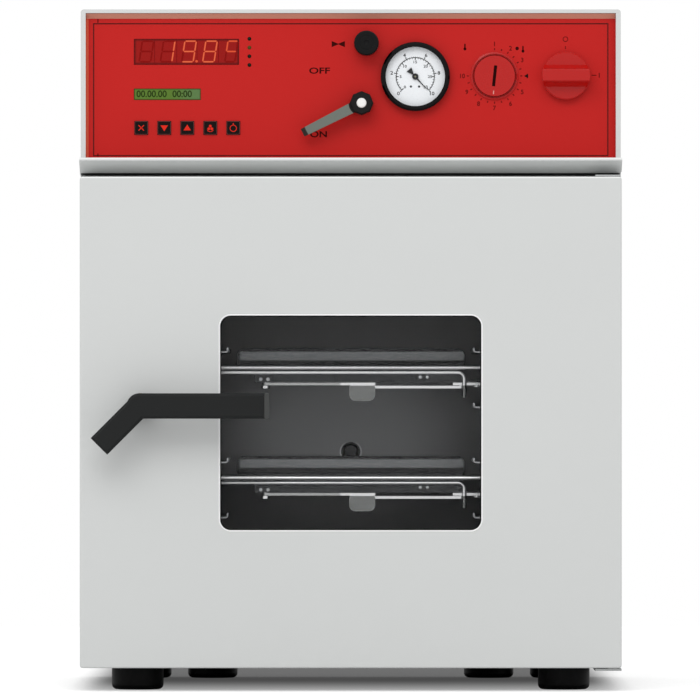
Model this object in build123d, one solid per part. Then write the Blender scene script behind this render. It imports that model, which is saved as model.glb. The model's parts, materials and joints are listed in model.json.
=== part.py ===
from build123d import *
import os

# Bench-top vacuum drying oven. Millimetres, +X to the right as the user faces it, -Y towards the
# user, +Z up, origin under the middle of the whole oven on the surface that it stands on.

# ---------------------------------------------------------------- driving dimensions
CHAMBER = 285.0           # chamber width and height inside
CASE_SIDE = 115.5         # chamber's wall to the casing's side
CASE_W = CHAMBER + 2 * CASE_SIDE
CASE_TOP = 650.0          # casing top above the bench
CASE_D = 450.0            # casing from its front plane to the rear panel
FOOT_H = 21.2             # bench to casing bottom
PAN_RIM = 27.0            # upturned sides of the base pan
FRAME_T = 3.0             # plate behind the door
SHEET = 1.5               # casing, door and nose sheet
HANDLE_REACH = 45.0       # door front to the foremost face of the handle
REAR_REACH = 30.0         # rear panel to the ends of the pipe fittings
FIT = 0.3                 # gap between pieces that are dropped into each other
RUN = 0.05                # radial running clearance of a shaft

DOOR_REVEAL = 0.5         # casing side beyond the door's side
DOOR_W = CASE_W - 2 * DOOR_REVEAL
DOOR_EDGE_R = 1.5
WINDOW_BEVEL = 1.2
DOOR_T = 46.0
DOOR_BOTTOM = 22.0
DOOR_TOP = 489.0
DOOR_GAP = 4.0            # door back to casing front plane
DOOR_CORNER = 3.0
DOOR_BACK_T = 2.0

WINDOW_W = 249.0
WINDOW_H = 204.7
WINDOW_R = 10.5
WINDOW_PANE_T = 4.0
PANE_LAP = 8.0            # window pane behind the door skin, each side
GLASS_LAP = 16.5          # chamber glass beyond the chamber, each side
GLASS_T = 15.0
GLASS_R = 14.0

HINGE_IN = 10.0           # hinge axis from the door's right edge
HINGE_BACK = 12.0         # hinge axis behind the door's front face
HINGE_PIN_R = 4.0
HINGE_PIN_L = 14.0
HINGE_PLATE_W = 25.0
HINGE_PLATE_T = 2.0
HINGE_TOP_T = 1.4
HINGE_LEG_H = 12.0
BUSH_R = 7.0
BUSH_L = 18.0
HINGE_SCREW_R = 3.0
HINGE_SCREW_H = 1.2

NOSE_Z = 491.2            # lowest edge of the nose
NOSE_LIP_Z = 504.3        # bottom of the upright lip
NOSE_TOP_Z = 507.0
NOSE_SLOPE_D = 30.0       # how far the sloping strip runs back
NOSE_BACK_GAP = 3.0
NOSE_CORNER_W = 3.2       # bevelled lower corners of the nose
NOSE_CORNER_H = 3.0

HEAD_EDGE = 4.75          # returned sheet edge at both sides of the head
HEAD_EDGE_TOP = 3.5
PANEL_RECESS = 8.0
PANEL_T = 2.0
PANEL_GROOVE_IN = 8.0     # engraved line in from the panel's edge
PANEL_GROOVE_W = 1.2
PANEL_GROOVE_D = 0.9
PANEL_BEVEL_H = 5.0       # sloped lip along the panel's top edge
PANEL_BEVEL_D = 6.0

CHAMBER_D = 295.0
CHAMBER_Z = 255.0
CHAMBER_R = 12.0
VESSEL_WALL = 3.0
FLANGE_LIP = 24.5         # flange beyond the chamber, each side
FLANGE_T = 8.0
GASKET_W = 8.0
GASKET_DEEP = 4.0
GASKET_IN = 4.0           # chamber edge to the gasket
INSULATION = 38.0
HEATER_T = 2.0
HEATER_MARGIN = 30.0
HEATER_FRONT = 34.0

LED_BOX = (-207.2, -107.0, 597.6, 622.0)       # x0, x1, z0, z1
LCD_BOX = (-207.2, -143.6, 563.9, 574.5)
DISPLAY_T = 5.0
DISPLAY_PROUD = 0.4
LAMP_X = -96.9
LAMP_TOP_Z = 622.2
LAMP_PITCH = 8.35
LAMP_R = 1.8
LAMP_L = 7.0
LAMPS = 4
KEY_X = -200.3
KEY_PITCH = 22.0
KEY_Z = 537.0
KEY = 12.7
KEY_PROUD = 1.6
KEY_FLANGE = 1.5
KEYS = 5

AIR_X, AIR_Z = 15.0, 617.6
AIR_KNOB_R = 11.8
AIR_KNOB_T = 18.0
AIR_KNOB_OFF = 2.0
VALVE_STEM_R = 4.0
VAC_X, VAC_Z = 10.3, 560.3
VAC_HUB_W = 21.0          # across the hub's flats
VAC_HUB_SIDES = 8
VAC_HUB_T = 17.0
VAC_OFF = 2.5
VAC_LEVER_L = 63.0
VAC_LEVER_W = 7.8         # at the tip
VAC_ROOT_W = 10.4
VAC_LEVER_T = 6.0
VAC_LEVER_DEG = 206.8
VAC_CAP_R = 4.7
VAC_CAP_T = 2.0
VAC_TIP_BEVEL = 3.5
VALVE_BODY = 30.0
VALVE_BODY_L = 34.0

GAUGE_X, GAUGE_Z = 61.7, 585.9
GAUGE_R = 33.0
GAUGE_BODY_R = 30.5
GAUGE_DIAL_R = 28.3
GAUGE_PROUD = 11.0
GAUGE_BODY_L = 26.0
GAUGE_STUB_L = 14.0
GAUGE_WALL = 1.6
GAUGE_LENS_T = 1.5
GAUGE_DIAL_T = 1.0
POINTER_L = 18.5
POINTER_TAIL = 9.0
POINTER_W = 1.8
POINTER_T = 0.6
POINTER_HUB_R = 3.0
POINTER_DEG = -48.0
POINTER_TAIL_W = 3.1
ARBOR_R = 1.2

LIMIT_X, LIMIT_Z = 137.5, 586.7
LIMIT_RING_R = 22.0
LIMIT_DIAL_R = 20.5
LIMIT_PROUD = 2.2
LIMIT_RIM = 0.8
LIMIT_FLOOR_T = 0.5
DISC_BEVEL = 1.0          # front edge of the limiter's and the switch's discs
BLOCK_R = 3.0             # corners of the switch, limiter and valve blocks
LIMIT_DIAL_T = 4.0
LIMIT_SLOT_L = 20.0
LIMIT_SLOT_W = 3.0
LIMIT_SLOT_D = 1.6
LIMIT_SLOT_DEG = 84.0     # from the horizontal
LIMIT_BODY = 42.0
LIMIT_BODY_L = 40.0
DIAL_STEM_R = 3.0

SWITCH_X, SWITCH_Z = 205.5, 586.6
SWITCH_R = 22.75
SWITCH_BASE_T = 7.0
SWITCH_BAR_H = 11.6
SWITCH_BAR_FOOT = 21.0    # grip bar's height where it meets the base
SWITCH_BAR_T = 15.0
SWITCH_OFF = 1.5
SWITCH_BODY = 44.0
SWITCH_BODY_L = 45.0

HANDLE_IN = 57.5          # handle axis from the door's left edge
HANDLE_Z = 271.0
HANDLE_T = 18.0
HANDLE_BAR_W = 24.0
HANDLE_BAR_END = 123.0    # pivot to the end of the bar
HANDLE_TAIL_W = 22.0
HANDLE_TAIL_L = 54.0
HANDLE_BEVEL = 2.5
HANDLE_END_BEVEL = 6.0
HANDLE_NECK_R = 12.0
SPINDLE_R = 6.0
BEARING_R = 14.0
BEARING_FLANGE_T = 3.0
BEARING_T = 8.0
FINGER_L = 22.0
FINGER_W = 12.0
FINGER_T = 6.0
FINGER_BOSS = 2.0         # boss of the finger round its spindle
FINGER_BACK = 12.0        # spindle end behind the casing's front plane
KEEPER_CLEAR = 4.0        # pocket beyond the sweep of the latch finger
KEEPER_WALL = 2.0
KEEPER_D = 22.0

RAIL_TOP_LEDGE = 308.65    # ledge under the uppermost shelf
RAIL_PITCH = 52.95
RAILS = 4
RAIL_T = 1.5
RAIL_LEDGE_W = 15.5
RAIL_GUIDE_W = 25.0
RAIL_GUIDE_UP = 15.0
RAIL_LIP = 3.5
RAIL_WEB_DOWN = 3.0
RAIL_FRONT = 42.0         # rail front behind the casing's front plane
RAIL_BACK = 13.0
RAIL_LIP_R = 3.0

SHELF_RAILS = (0, 2)      # rail levels with a shelf, from the top
SHELF_SIDE = 6.5          # shelf edge to the chamber's wall
SHELF_T = 1.5
SHELF_FRONT = 30.0        # hem behind the casing's front plane
SHELF_BACK = 9.0
HEM_R = 2.15
UPSTAND_IN = 23.5
UPSTAND_H = 18.0
UPSTAND_R = 8.0

CLAMP_X1 = 107.0
CLAMP_DROP = 14.6         # shelf underside to the channel's lower face
CLAMP_D = 22.0
CLAMP_BACK = 6.0          # channel front behind the shelf's hem
BRACKET_X = -92.0
PIVOT_A_X = -82.0
KNEE_X = 14.0
PIVOT_J_X = 106.0
LINK_BACK = 11.0          # link line behind the channel's front face
LINK_W = 7.0
LINK_T = 2.5
LINK_GAP = 0.5
PIVOT_R = 2.0
KNEE_SLOT_W = 5.4
KNEE_SLOT_L = 9.0
KNEE_EYE_R = 6.2
TAB_W = 25.0
TAB_H = 15.0
TAB_T = 2.0
TAB_R = 6.0
PAD_X0 = 98.0
PAD_W = 12.0
PAD_RIVET_X = 121.0
PAD_RIVET_R = 1.5
PAD_SLOT_L = 8.0
PAD_SLOT_W = 3.8
PAD_HEAD_R = 3.5
NUT_R = 4.0
SOLE_END = 8.0            # channel's sole beyond the pad's rivet
WIRE_R = 2.15
WIRE_DROP = 5.4           # wire centre below the shelf's underside
WIRE_IN = 2.0             # wire's left end in from the shelf's edge
WIRE_X1 = 109.0
WIRE_LEG = 24.0
WIRE_BEND = 6.0

PORT_Z = 226.4
PORT_R = 8.0
PORT_WALL = 3.0
PORT_RING_T = 2.0
PORT_FLANGE_R = 15.0
PORT_FLANGE_T = 4.0
PORT_X = -60.0            # vacuum flange on the rear panel
PORT_REAR_Z = 560.3
PORT_TUBE_L = 60.0
SENSOR_UP = 40.0
SENSOR_R = 2.5
SENSOR_L = 10.0
PIPE_R = 6.0
PIPE_LEAD = 60.0          # straight run at each end of a pipe
PIPE_END = 20.0           # pipe end in front of the rear panel
VALVE_IN_DZ = 8.0
VALVE_OUT_DZ = 6.0
VALVE_OUT_DX = 8.0
PIPE_RUN = 26.0
PIPE_BEND = 14.0
NOZZLE_X = 60.0
NOZZLE_Z = 600.0
NOZZLE_R = 4.0
NOZZLE_BORE_R = 2.5
NOZZLE_FLANGE_R = 9.0
NOZZLE_L = 24.0
NOZZLE_FLANGE_T = 4.0
NOZZLE_GROOVE = 0.7
INLET_X = 205.0
INLET_Z = 90.0
INLET_W = 28.0
INLET_H = 48.0
INLET_L = 24.0
INLET_PROUD = 6.0

FOOT_R = 24.75
FOOT_ROUND = 5.0
FOOT_IN = 54.0            # foot centre from the casing's side
FOOT_PAIR = 66.0          # inner rear foot to the outer one
FOOT_FRONT = 24.0         # foot centre behind the casing's front plane
FOOT_REAR = 26.0          # foot centre from the rear panel

VENT_W = 60.0
VENT_H = 4.0
VENTS = 6
VENT_PITCH = 11.0
VENT_Z = 60.0
VENT_X = -170.0

# ---------------------------------------------------------------- places worked out from them
OVERALL_D = HANDLE_REACH + DOOR_T + DOOR_GAP + CASE_D + REAR_REACH
Y_HANDLE = -OVERALL_D / 2
Y_DOOR = Y_HANDLE + HANDLE_REACH
Y_DOOR_BACK = Y_DOOR + DOOR_T
Y_CASE = Y_DOOR_BACK + DOOR_GAP
Y_REAR = Y_CASE + CASE_D
Y_PANEL = Y_CASE + PANEL_RECESS
Y_PANEL_BACK = Y_PANEL + PANEL_T
CASE_H = CASE_TOP - FOOT_H
CASE_MID_Z = FOOT_H + CASE_H / 2
DOOR_H = DOOR_TOP - DOOR_BOTTOM
DOOR_MID_Z = DOOR_BOTTOM + DOOR_H / 2
HINGE_X = DOOR_W / 2 - HINGE_IN
HINGE_Y = Y_DOOR + HINGE_BACK
FLANGE_Y = Y_CASE
CHAMBER_BACK = Y_CASE + CHAMBER_D
WALL_X = CHAMBER / 2
WINDOW_Z = CHAMBER_Z
GLASS = CHAMBER + 2 * GLASS_LAP
FLANGE = CHAMBER + 2 * FLANGE_LIP
HANDLE_X = HANDLE_IN - DOOR_W / 2
RAIL_L = CHAMBER_D - RAIL_FRONT - RAIL_BACK
SHELF_W = CHAMBER - 2 * SHELF_SIDE
SHELF_D = CHAMBER_D - SHELF_FRONT - SHELF_BACK
UPSTAND_W = SHELF_W - 2 * UPSTAND_IN
WIRE_X0 = WIRE_IN - SHELF_W / 2
FOOT_X = CASE_W / 2 - FOOT_IN
GASKET_SIDE = CHAMBER + 2 * (GASKET_IN + GASKET_W)


# ---------------------------------------------------------------- helpers
def along_x(sketch, x0, x1):
    """A sketch drawn in (Y, Z), extruded from x0 to x1."""
    return extrude(Plane((x0, 0, 0), x_dir=(0, 1, 0), z_dir=(1, 0, 0)) * sketch, amount=x1 - x0)


def along_y(sketch, y0, y1):
    """A sketch drawn in (X, Z), extruded from y0 to y1."""
    return extrude(Plane((0, y1, 0), x_dir=(1, 0, 0), z_dir=(0, -1, 0)) * sketch, amount=y1 - y0)


def along_z(sketch, z0, z1):
    """A sketch drawn in (X, Y), extruded from z0 to z1."""
    return extrude(Plane((0, 0, z0)) * sketch, amount=z1 - z0)


def turned(x, z, profile):
    """A closed (radius, Y) profile turned about the Y axis through (x, z)."""
    face = Plane((x, 0, z), x_dir=(1, 0, 0), z_dir=(0, 0, 1)) * Polygon(*profile, align=None)
    return revolve(face, Axis((x, 0, z), (0, 1, 0)))


def plate(width, height, radius=0.0):
    """A rectangle, with rounded corners where a radius is given."""
    return RectangleRounded(width, height, radius) if radius else Rectangle(width, height)


def bar(x0, x1, y0, y1, z0, z1):
    """A straight rectangular bar between two corners."""
    return along_z(Pos((x0 + x1) / 2, (y0 + y1) / 2) * Rectangle(x1 - x0, y1 - y0), z0, z1)


def rod_y(x, z, radius, y0, y1):
    """A round rod along Y."""
    return along_y(Pos(x, z) * Circle(radius), y0, y1)


def rod_z(x, y, radius, z0, z1):
    """A round rod along Z."""
    return along_z(Pos(x, y) * Circle(radius), z0, z1)


def box_outline(limits, grow=0.0):
    """A rectangle in (X, Z) over the given limits, grown on every side."""
    x0, x1, z0, z1 = limits
    middle = Pos((x0 + x1) / 2, (z0 + z1) / 2)
    return middle * Rectangle(x1 - x0 + 2 * grow, z1 - z0 + 2 * grow)


def key_x(index):
    return KEY_X + index * KEY_PITCH


def lamp_z(index):
    return LAMP_TOP_Z - index * LAMP_PITCH


def ledge_z(level):
    return RAIL_TOP_LEDGE - level * RAIL_PITCH


def save(name, *solids):
    """Write one node: one STEP file of one or more separate solids."""
    pieces = [solid for shape in solids for solid in shape.solids()]
    shape = pieces[0] if len(pieces) == 1 else Compound(children=pieces)
    export_step(shape, os.path.join("parts", name + ".step"))


# ---------------------------------------------------------------- casing
def casing_shell():
    """Sides and top bent from one sheet, with its front edge returned round the head."""
    inner_w = CASE_W - 2 * SHEET
    outline = Pos(0, CASE_MID_Z - DOOR_CORNER) * plate(CASE_W, CASE_H + 2 * DOOR_CORNER, DOOR_CORNER)
    outline = outline & (Pos(0, CASE_MID_Z) * Rectangle(CASE_W, CASE_H))
    hollow = Pos(0, CASE_MID_Z - SHEET) * Rectangle(inner_w, CASE_H)
    wrap = along_y(outline - hollow, Y_CASE, Y_REAR - SHEET)
    frame_w = CASE_W - 2 * HEAD_EDGE
    edge = box_outline((-CASE_W / 2 + SHEET, CASE_W / 2 - SHEET, NOSE_TOP_Z, CASE_TOP - SHEET))
    gap = box_outline((-frame_w / 2, frame_w / 2, NOSE_TOP_Z, CASE_TOP - HEAD_EDGE_TOP))
    return wrap + along_y(edge - gap, Y_CASE, Y_CASE + SHEET)


def base_pan():
    """Bottom tray with upturned sides between the casing's walls."""
    half = CASE_W / 2 - SHEET
    floor = bar(-half, half, Y_CASE, Y_REAR - SHEET, FOOT_H, FOOT_H + SHEET)
    rim_top = FOOT_H + SHEET + PAN_RIM
    y0 = Y_CASE + FRAME_T
    left = bar(-half, -half + SHEET, y0, Y_REAR - SHEET, FOOT_H, rim_top)
    right = bar(half - SHEET, half, y0, Y_REAR - SHEET, FOOT_H, rim_top)
    return floor + left + right


def rear_panel():
    """Back sheet with cooling slots and holes for the fittings and the inlet."""
    sheet = along_y(Pos(0, CASE_MID_Z) * plate(CASE_W, CASE_H, DOOR_CORNER), Y_REAR - SHEET, Y_REAR)
    slot = SlotOverall(VENT_W, VENT_H)
    holes = [Pos(side * VENT_X, VENT_Z + i * VENT_PITCH) * slot for side in (1, -1) for i in range(VENTS)
             if side > 0 or VENT_Z + i * VENT_PITCH > INLET_Z + INLET_H]
    for i in range(VENTS):
        holes.append(Pos(0, VENT_Z + i * VENT_PITCH) * slot)
    holes.append(Pos(PORT_X, PORT_REAR_Z) * Circle(PORT_R + PORT_WALL + FIT))
    holes.append(Pos(NOZZLE_X, NOZZLE_Z) * Circle(NOZZLE_R + 2 + FIT))
    holes.append(Pos(INLET_X, INLET_Z) * Rectangle(INLET_W + FIT, INLET_H + FIT))
    for hole in holes:
        sheet -= along_y(hole, Y_REAR - 2 * SHEET, Y_REAR + SHEET)
    return sheet


def keeper_outline(extra=0.0):
    """Outline of the pocket that the latch finger sweeps, from upright to the outer side."""
    reach = FINGER_L + FINGER_W / 2 + KEEPER_CLEAR
    inner = FINGER_W / 2 + KEEPER_CLEAR
    return box_outline((HANDLE_X - reach, HANDLE_X + inner, HANDLE_Z - inner, HANDLE_Z + reach), extra)


def front_frame():
    """Plate behind the door, with the chamber opening, the latch pocket and a top return."""
    half = CASE_W / 2 - SHEET
    top = NOSE_TOP_Z - SHEET
    sheet = box_outline((-half, half, FOOT_H + SHEET, top))
    opening = Pos(0, CHAMBER_Z) * plate(FLANGE + FIT, FLANGE + FIT, CHAMBER_R)
    pocket = keeper_outline()
    return along_y(sheet - opening - pocket, Y_CASE, Y_CASE + FRAME_T)


def nose_trim():
    """Folded nose over the door: upright lip, strip sloping down and back, closed ends."""
    strip_y = Y_DOOR + NOSE_SLOPE_D
    rear_y = Y_CASE - NOSE_BACK_GAP
    outer = [(Y_PANEL, NOSE_TOP_Z), (Y_DOOR, NOSE_TOP_Z), (Y_DOOR, NOSE_LIP_Z),
             (strip_y, NOSE_Z), (rear_y, NOSE_Z)]
    inner = [(rear_y, NOSE_Z + SHEET), (strip_y + SHEET / 4, NOSE_Z + SHEET),
             (Y_DOOR + SHEET, NOSE_LIP_Z + SHEET / 4), (Y_DOOR + SHEET, NOSE_TOP_Z - SHEET),
             (Y_PANEL, NOSE_TOP_Z - SHEET)]
    fold = along_x(Polygon(*outer, *inner, align=None), -CASE_W / 2, CASE_W / 2)
    cheek = Polygon(*outer, (rear_y, NOSE_TOP_Z), align=None)
    left = along_x(cheek, -CASE_W / 2, -CASE_W / 2 + SHEET)
    right = along_x(cheek, CASE_W / 2 - SHEET, CASE_W / 2)
    side_gap = [bar(s * CASE_W / 2 - SHEET, s * CASE_W / 2 + SHEET, Y_CASE, Y_PANEL + SHEET,
                    NOSE_Z, NOSE_TOP_Z + SHEET) for s in (-1, 1)]
    nose = fold + left + right
    for side in (-1, 1):
        edge = side * CASE_W / 2
        corner = Polygon((edge, NOSE_Z - SHEET), (edge, NOSE_Z + NOSE_CORNER_H),
                         (edge - side * NOSE_CORNER_W, NOSE_Z - FIT),
                         (edge - side * NOSE_CORNER_W, NOSE_Z - SHEET), align=None)
        nose -= along_y(corner, Y_DOOR - SHEET, Y_CASE + SHEET)
    for cut in side_gap:
        nose -= cut
    return nose


def feet():
    """Six turned rubber feet: corner pairs and an inner pair at the rear."""
    front, rear = Y_CASE + FOOT_FRONT, Y_REAR - FOOT_REAR
    inner = FOOT_X - FOOT_PAIR
    places = [(-FOOT_X, front), (FOOT_X, front), (-FOOT_X, rear), (FOOT_X, rear),
              (-inner, rear), (inner, rear)]
    made = []
    for x, y in places:
        body = rod_z(x, y, FOOT_R, 0, FOOT_H)
        made.append(fillet(body.edges().filter_by(GeomType.CIRCLE).sort_by(Axis.Z)[0], FOOT_ROUND))
    return made


# ---------------------------------------------------------------- control panel
def control_panel():
    """Recessed plate of the head, with an engraved line and every cut-out it needs."""
    half = CASE_W / 2 - SHEET - FIT
    top = CASE_TOP - SHEET - FIT
    low = NOSE_TOP_Z + FIT
    sheet = along_y(box_outline((-half, half, low, top)), Y_PANEL, Y_PANEL_BACK)
    line_half = CASE_W / 2 - HEAD_EDGE - PANEL_GROOVE_IN
    limits = (-line_half, line_half, NOSE_TOP_Z + PANEL_GROOVE_IN / 2, CASE_TOP - PANEL_GROOVE_IN * 1.75)
    line = box_outline(limits, PANEL_GROOVE_W) - box_outline(limits)
    sheet -= along_y(line, Y_PANEL - PANEL_GROOVE_D, Y_PANEL + PANEL_GROOVE_D)
    holes = [box_outline(LED_BOX, FIT / 2), box_outline(LCD_BOX, FIT / 2)]
    holes += [Pos(LAMP_X, lamp_z(i)) * Circle(LAMP_R + RUN) for i in range(LAMPS)]
    holes += [Pos(key_x(i), KEY_Z) * Rectangle(KEY + 2 * FIT, KEY + 2 * FIT) for i in range(KEYS)]
    holes += [Pos(AIR_X, AIR_Z) * Circle(VALVE_STEM_R + 1), Pos(VAC_X, VAC_Z) * Circle(VALVE_STEM_R + 1)]
    holes += [Pos(GAUGE_X, GAUGE_Z) * Circle(GAUGE_BODY_R + RUN)]
    holes += [Pos(x, z) * Circle(DIAL_STEM_R + 1) for x, z in ((LIMIT_X, LIMIT_Z), (SWITCH_X, SWITCH_Z))]
    for hole in holes:
        sheet -= along_y(hole, Y_PANEL - PANEL_T, Y_PANEL_BACK + PANEL_T)
    lip_top = CASE_TOP - HEAD_EDGE_TOP - FIT
    lip = Polygon((Y_PANEL, lip_top), (Y_PANEL - PANEL_BEVEL_D, lip_top), (Y_PANEL, lip_top - PANEL_BEVEL_H),
                  align=None)
    lip_half = CASE_W / 2 - HEAD_EDGE - FIT
    return sheet + along_x(lip, -lip_half, lip_half)


def display(limits):
    """Display block that fills its cut-out and stands a little proud, with a rear rim."""
    block = along_y(box_outline(limits), Y_PANEL - DISPLAY_PROUD, Y_PANEL_BACK)
    rim = along_y(box_outline(limits, 2.0), Y_PANEL_BACK, Y_PANEL_BACK + DISPLAY_T)
    return block + rim


def lamp(index):
    """Domed indicator lamp in its hole."""
    y0 = Y_PANEL - LAMP_R / 2
    dome = [(0, y0), (LAMP_R * 0.7, y0 + LAMP_R * 0.2), (LAMP_R, Y_PANEL), (LAMP_R, Y_PANEL + LAMP_L),
            (0, Y_PANEL + LAMP_L)]
    return turned(LAMP_X, lamp_z(index), dome)


def key(index):
    """Square key cap with a rear flange that keeps it in the panel."""
    x = key_x(index)
    cap = along_y(Pos(x, KEY_Z) * Rectangle(KEY, KEY), Y_PANEL - KEY_PROUD, Y_PANEL_BACK + FIT)
    cap = chamfer(cap.faces().sort_by(Axis.Y)[0].edges(), 0.6)
    side = KEY + 2 * KEY_FLANGE
    flange_y = Y_PANEL_BACK + FIT
    return cap + along_y(Pos(x, KEY_Z) * Rectangle(side, side), flange_y, flange_y + KEY_FLANGE)


def controller_board():
    """Circuit board on spacers behind the displays and the keys."""
    y0 = Y_PANEL_BACK + DISPLAY_T + LAMP_L
    outline = box_outline((LED_BOX[0] - 12, LAMP_X + 12, KEY_Z - 16, LED_BOX[3] + 8))
    board = along_y(outline, y0, y0 + 1.6)
    for x in (LED_BOX[0] - 6, LAMP_X + 6):
        for z in (KEY_Z - 11, LED_BOX[3] + 3):
            board += rod_y(x, z, 3.0, Y_PANEL_BACK, y0)
    return board


def gauge_case():
    """Turned gauge housing: bezel ring in front of the panel, cup behind it, rear stub."""
    y0 = Y_PANEL - GAUGE_PROUD
    y1 = Y_PANEL_BACK + GAUGE_BODY_L
    seat = y0 + 3 * GAUGE_WALL
    back = seat + GAUGE_PROUD
    inner = GAUGE_DIAL_R + RUN
    bezel = [(inner, y0), (GAUGE_R - 2, y0), (GAUGE_R, y0 + 2), (GAUGE_R, Y_PANEL)]
    profile = bezel + [(GAUGE_BODY_R, Y_PANEL), (GAUGE_BODY_R, y1), (0, y1), (0, back), (inner, back)]
    stub = rod_y(GAUGE_X, GAUGE_Z, NOZZLE_R, y1, y1 + GAUGE_STUB_L)
    return turned(GAUGE_X, GAUGE_Z, profile) + stub


def gauge_layers():
    """Where the dial, pointer and lens lie along Y inside the case."""
    y0 = Y_PANEL - GAUGE_PROUD
    lens = y0 + GAUGE_WALL
    dial = lens + GAUGE_LENS_T + 3.0
    return lens, dial


def gauge_dial():
    """Dial plate on its carrier, with a hole for the pointer's arbor."""
    _, dial = gauge_layers()
    back = Y_PANEL - GAUGE_PROUD + 3 * GAUGE_WALL + GAUGE_PROUD
    disc = turned(GAUGE_X, GAUGE_Z, [(ARBOR_R + RUN, dial), (GAUGE_DIAL_R, dial),
                                     (GAUGE_DIAL_R, dial + GAUGE_DIAL_T), (8, dial + GAUGE_DIAL_T),
                                     (8, back), (ARBOR_R + RUN, back)])
    return disc


def gauge_lens():
    """Flat lens clipped inside the bezel."""
    lens, _ = gauge_layers()
    return turned(GAUGE_X, GAUGE_Z, [(0, lens), (GAUGE_DIAL_R, lens), (GAUGE_DIAL_R, lens + GAUGE_LENS_T),
                                     (0, lens + GAUGE_LENS_T)])


def gauge_pointer():
    """Tapered pointer with a broad tail on a hub and arbor."""
    _, dial = gauge_layers()
    y1 = dial - 0.8
    y0 = y1 - POINTER_T
    blade = Polygon((POINTER_L, 0), (0, POINTER_W / 2), (-POINTER_HUB_R, POINTER_W / 3),
                    (-POINTER_TAIL, POINTER_TAIL_W), (-POINTER_TAIL, -POINTER_TAIL_W),
                    (-POINTER_HUB_R, -POINTER_W / 3), (0, -POINTER_W / 2), align=None)
    hand = along_y(Pos(GAUGE_X, GAUGE_Z) * Rot(0, 0, POINTER_DEG) * blade, y0, y1)
    hub = rod_y(GAUGE_X, GAUGE_Z, POINTER_HUB_R, y0 - 0.5, y1)
    return hand + hub + rod_y(GAUGE_X, GAUGE_Z, ARBOR_R, y1, dial + 4.0)


def rounded_disc(radius, y0, y1):
    """Profile of a disc with a bevelled front edge."""
    return [(0, y0), (radius - DISC_BEVEL, y0), (radius, y0 + DISC_BEVEL), (radius, y1), (0, y1)]


def limiter_body():
    """Limiter housing behind the panel with its fixed ring in front."""
    bore, edge, hole = LIMIT_DIAL_R + 2 * FIT, LIMIT_RING_R + LIMIT_RIM, DIAL_STEM_R + 2
    front, floor = Y_PANEL - LIMIT_PROUD, Y_PANEL - LIMIT_FLOOR_T
    profile = [(bore, front), (edge, front + LIMIT_RIM), (edge, Y_PANEL), (hole, Y_PANEL), (hole, floor),
               (bore, floor)]
    ring = turned(LIMIT_X, LIMIT_Z, profile)
    block = Pos(LIMIT_X, LIMIT_Z) * plate(LIMIT_BODY, LIMIT_BODY, BLOCK_R)
    body = along_y(block, Y_PANEL_BACK, Y_PANEL_BACK + LIMIT_BODY_L)
    body -= rod_y(LIMIT_X, LIMIT_Z, DIAL_STEM_R + RUN, Y_PANEL_BACK - 1, Y_PANEL_BACK + 20)
    return [ring, body]


def limiter_dial():
    """Flush disc with a coin slot, on a stem."""
    y1 = Y_PANEL - LIMIT_FLOOR_T - FIT
    y0 = y1 - LIMIT_DIAL_T
    disc = turned(LIMIT_X, LIMIT_Z, rounded_disc(LIMIT_DIAL_R, y0, y1))
    slot = Pos(LIMIT_X, LIMIT_Z) * Rot(0, 0, LIMIT_SLOT_DEG) * Rectangle(LIMIT_SLOT_L, LIMIT_SLOT_W)
    disc -= along_y(slot, y0 - 1, y0 + LIMIT_SLOT_D)
    return disc + rod_y(LIMIT_X, LIMIT_Z, DIAL_STEM_R, y1, Y_PANEL_BACK + 15)


def main_switch_body():
    """Rotary switch block behind the panel."""
    block = Pos(SWITCH_X, SWITCH_Z) * plate(SWITCH_BODY, SWITCH_BODY, BLOCK_R)
    body = along_y(block, Y_PANEL_BACK, Y_PANEL_BACK + SWITCH_BODY_L)
    return body - rod_y(SWITCH_X, SWITCH_Z, DIAL_STEM_R + RUN, Y_PANEL_BACK - 1, Y_PANEL_BACK + 20)


def main_switch_knob():
    """Round knob with a grip bar across its full width."""
    y1 = Y_PANEL - SWITCH_OFF
    y0 = y1 - SWITCH_BASE_T
    base = turned(SWITCH_X, SWITCH_Z, rounded_disc(SWITCH_R, y0, y1))
    foot, top, tip = SWITCH_BAR_FOOT / 2, SWITCH_BAR_H / 2, y0 - SWITCH_BAR_T
    section = Polygon((y0, SWITCH_Z + foot), (y0 - SWITCH_BAR_T / 3, SWITCH_Z + top + 1.5),
                      (tip + 1, SWITCH_Z + top), (tip, SWITCH_Z + top - 1), (tip, SWITCH_Z - top + 1),
                      (tip + 1, SWITCH_Z - top), (y0 - SWITCH_BAR_T / 3, SWITCH_Z - top - 1.5),
                      (y0, SWITCH_Z - foot), align=None)
    grip = along_x(section, SWITCH_X - SWITCH_R, SWITCH_X + SWITCH_R)
    grip = grip & rod_y(SWITCH_X, SWITCH_Z, SWITCH_R, tip - 1, y0 + 1)
    return base + grip + rod_y(SWITCH_X, SWITCH_Z, DIAL_STEM_R, y1, Y_PANEL_BACK + 15)


def air_valve_knob():
    """Turned knob with face rings, a centre dimple and a stem."""
    y1 = Y_PANEL - AIR_KNOB_OFF
    y0 = y1 - AIR_KNOB_T
    dimple = [(0, y0 + 0.8), (2.0, y0 + 0.6), (2.8, y0)]
    groove = [(6.0, y0), (6.4, y0 + 0.25), (7.2, y0 + 0.25), (7.6, y0)]
    face = dimple + groove + [(AIR_KNOB_R - 1, y0), (AIR_KNOB_R, y0 + 1)]
    profile = face + [(AIR_KNOB_R, y1 - 1), (AIR_KNOB_R - 1, y1), (0, y1)]
    return turned(AIR_X, AIR_Z, profile) + rod_y(AIR_X, AIR_Z, VALVE_STEM_R, y1, Y_PANEL_BACK + 16)


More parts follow.
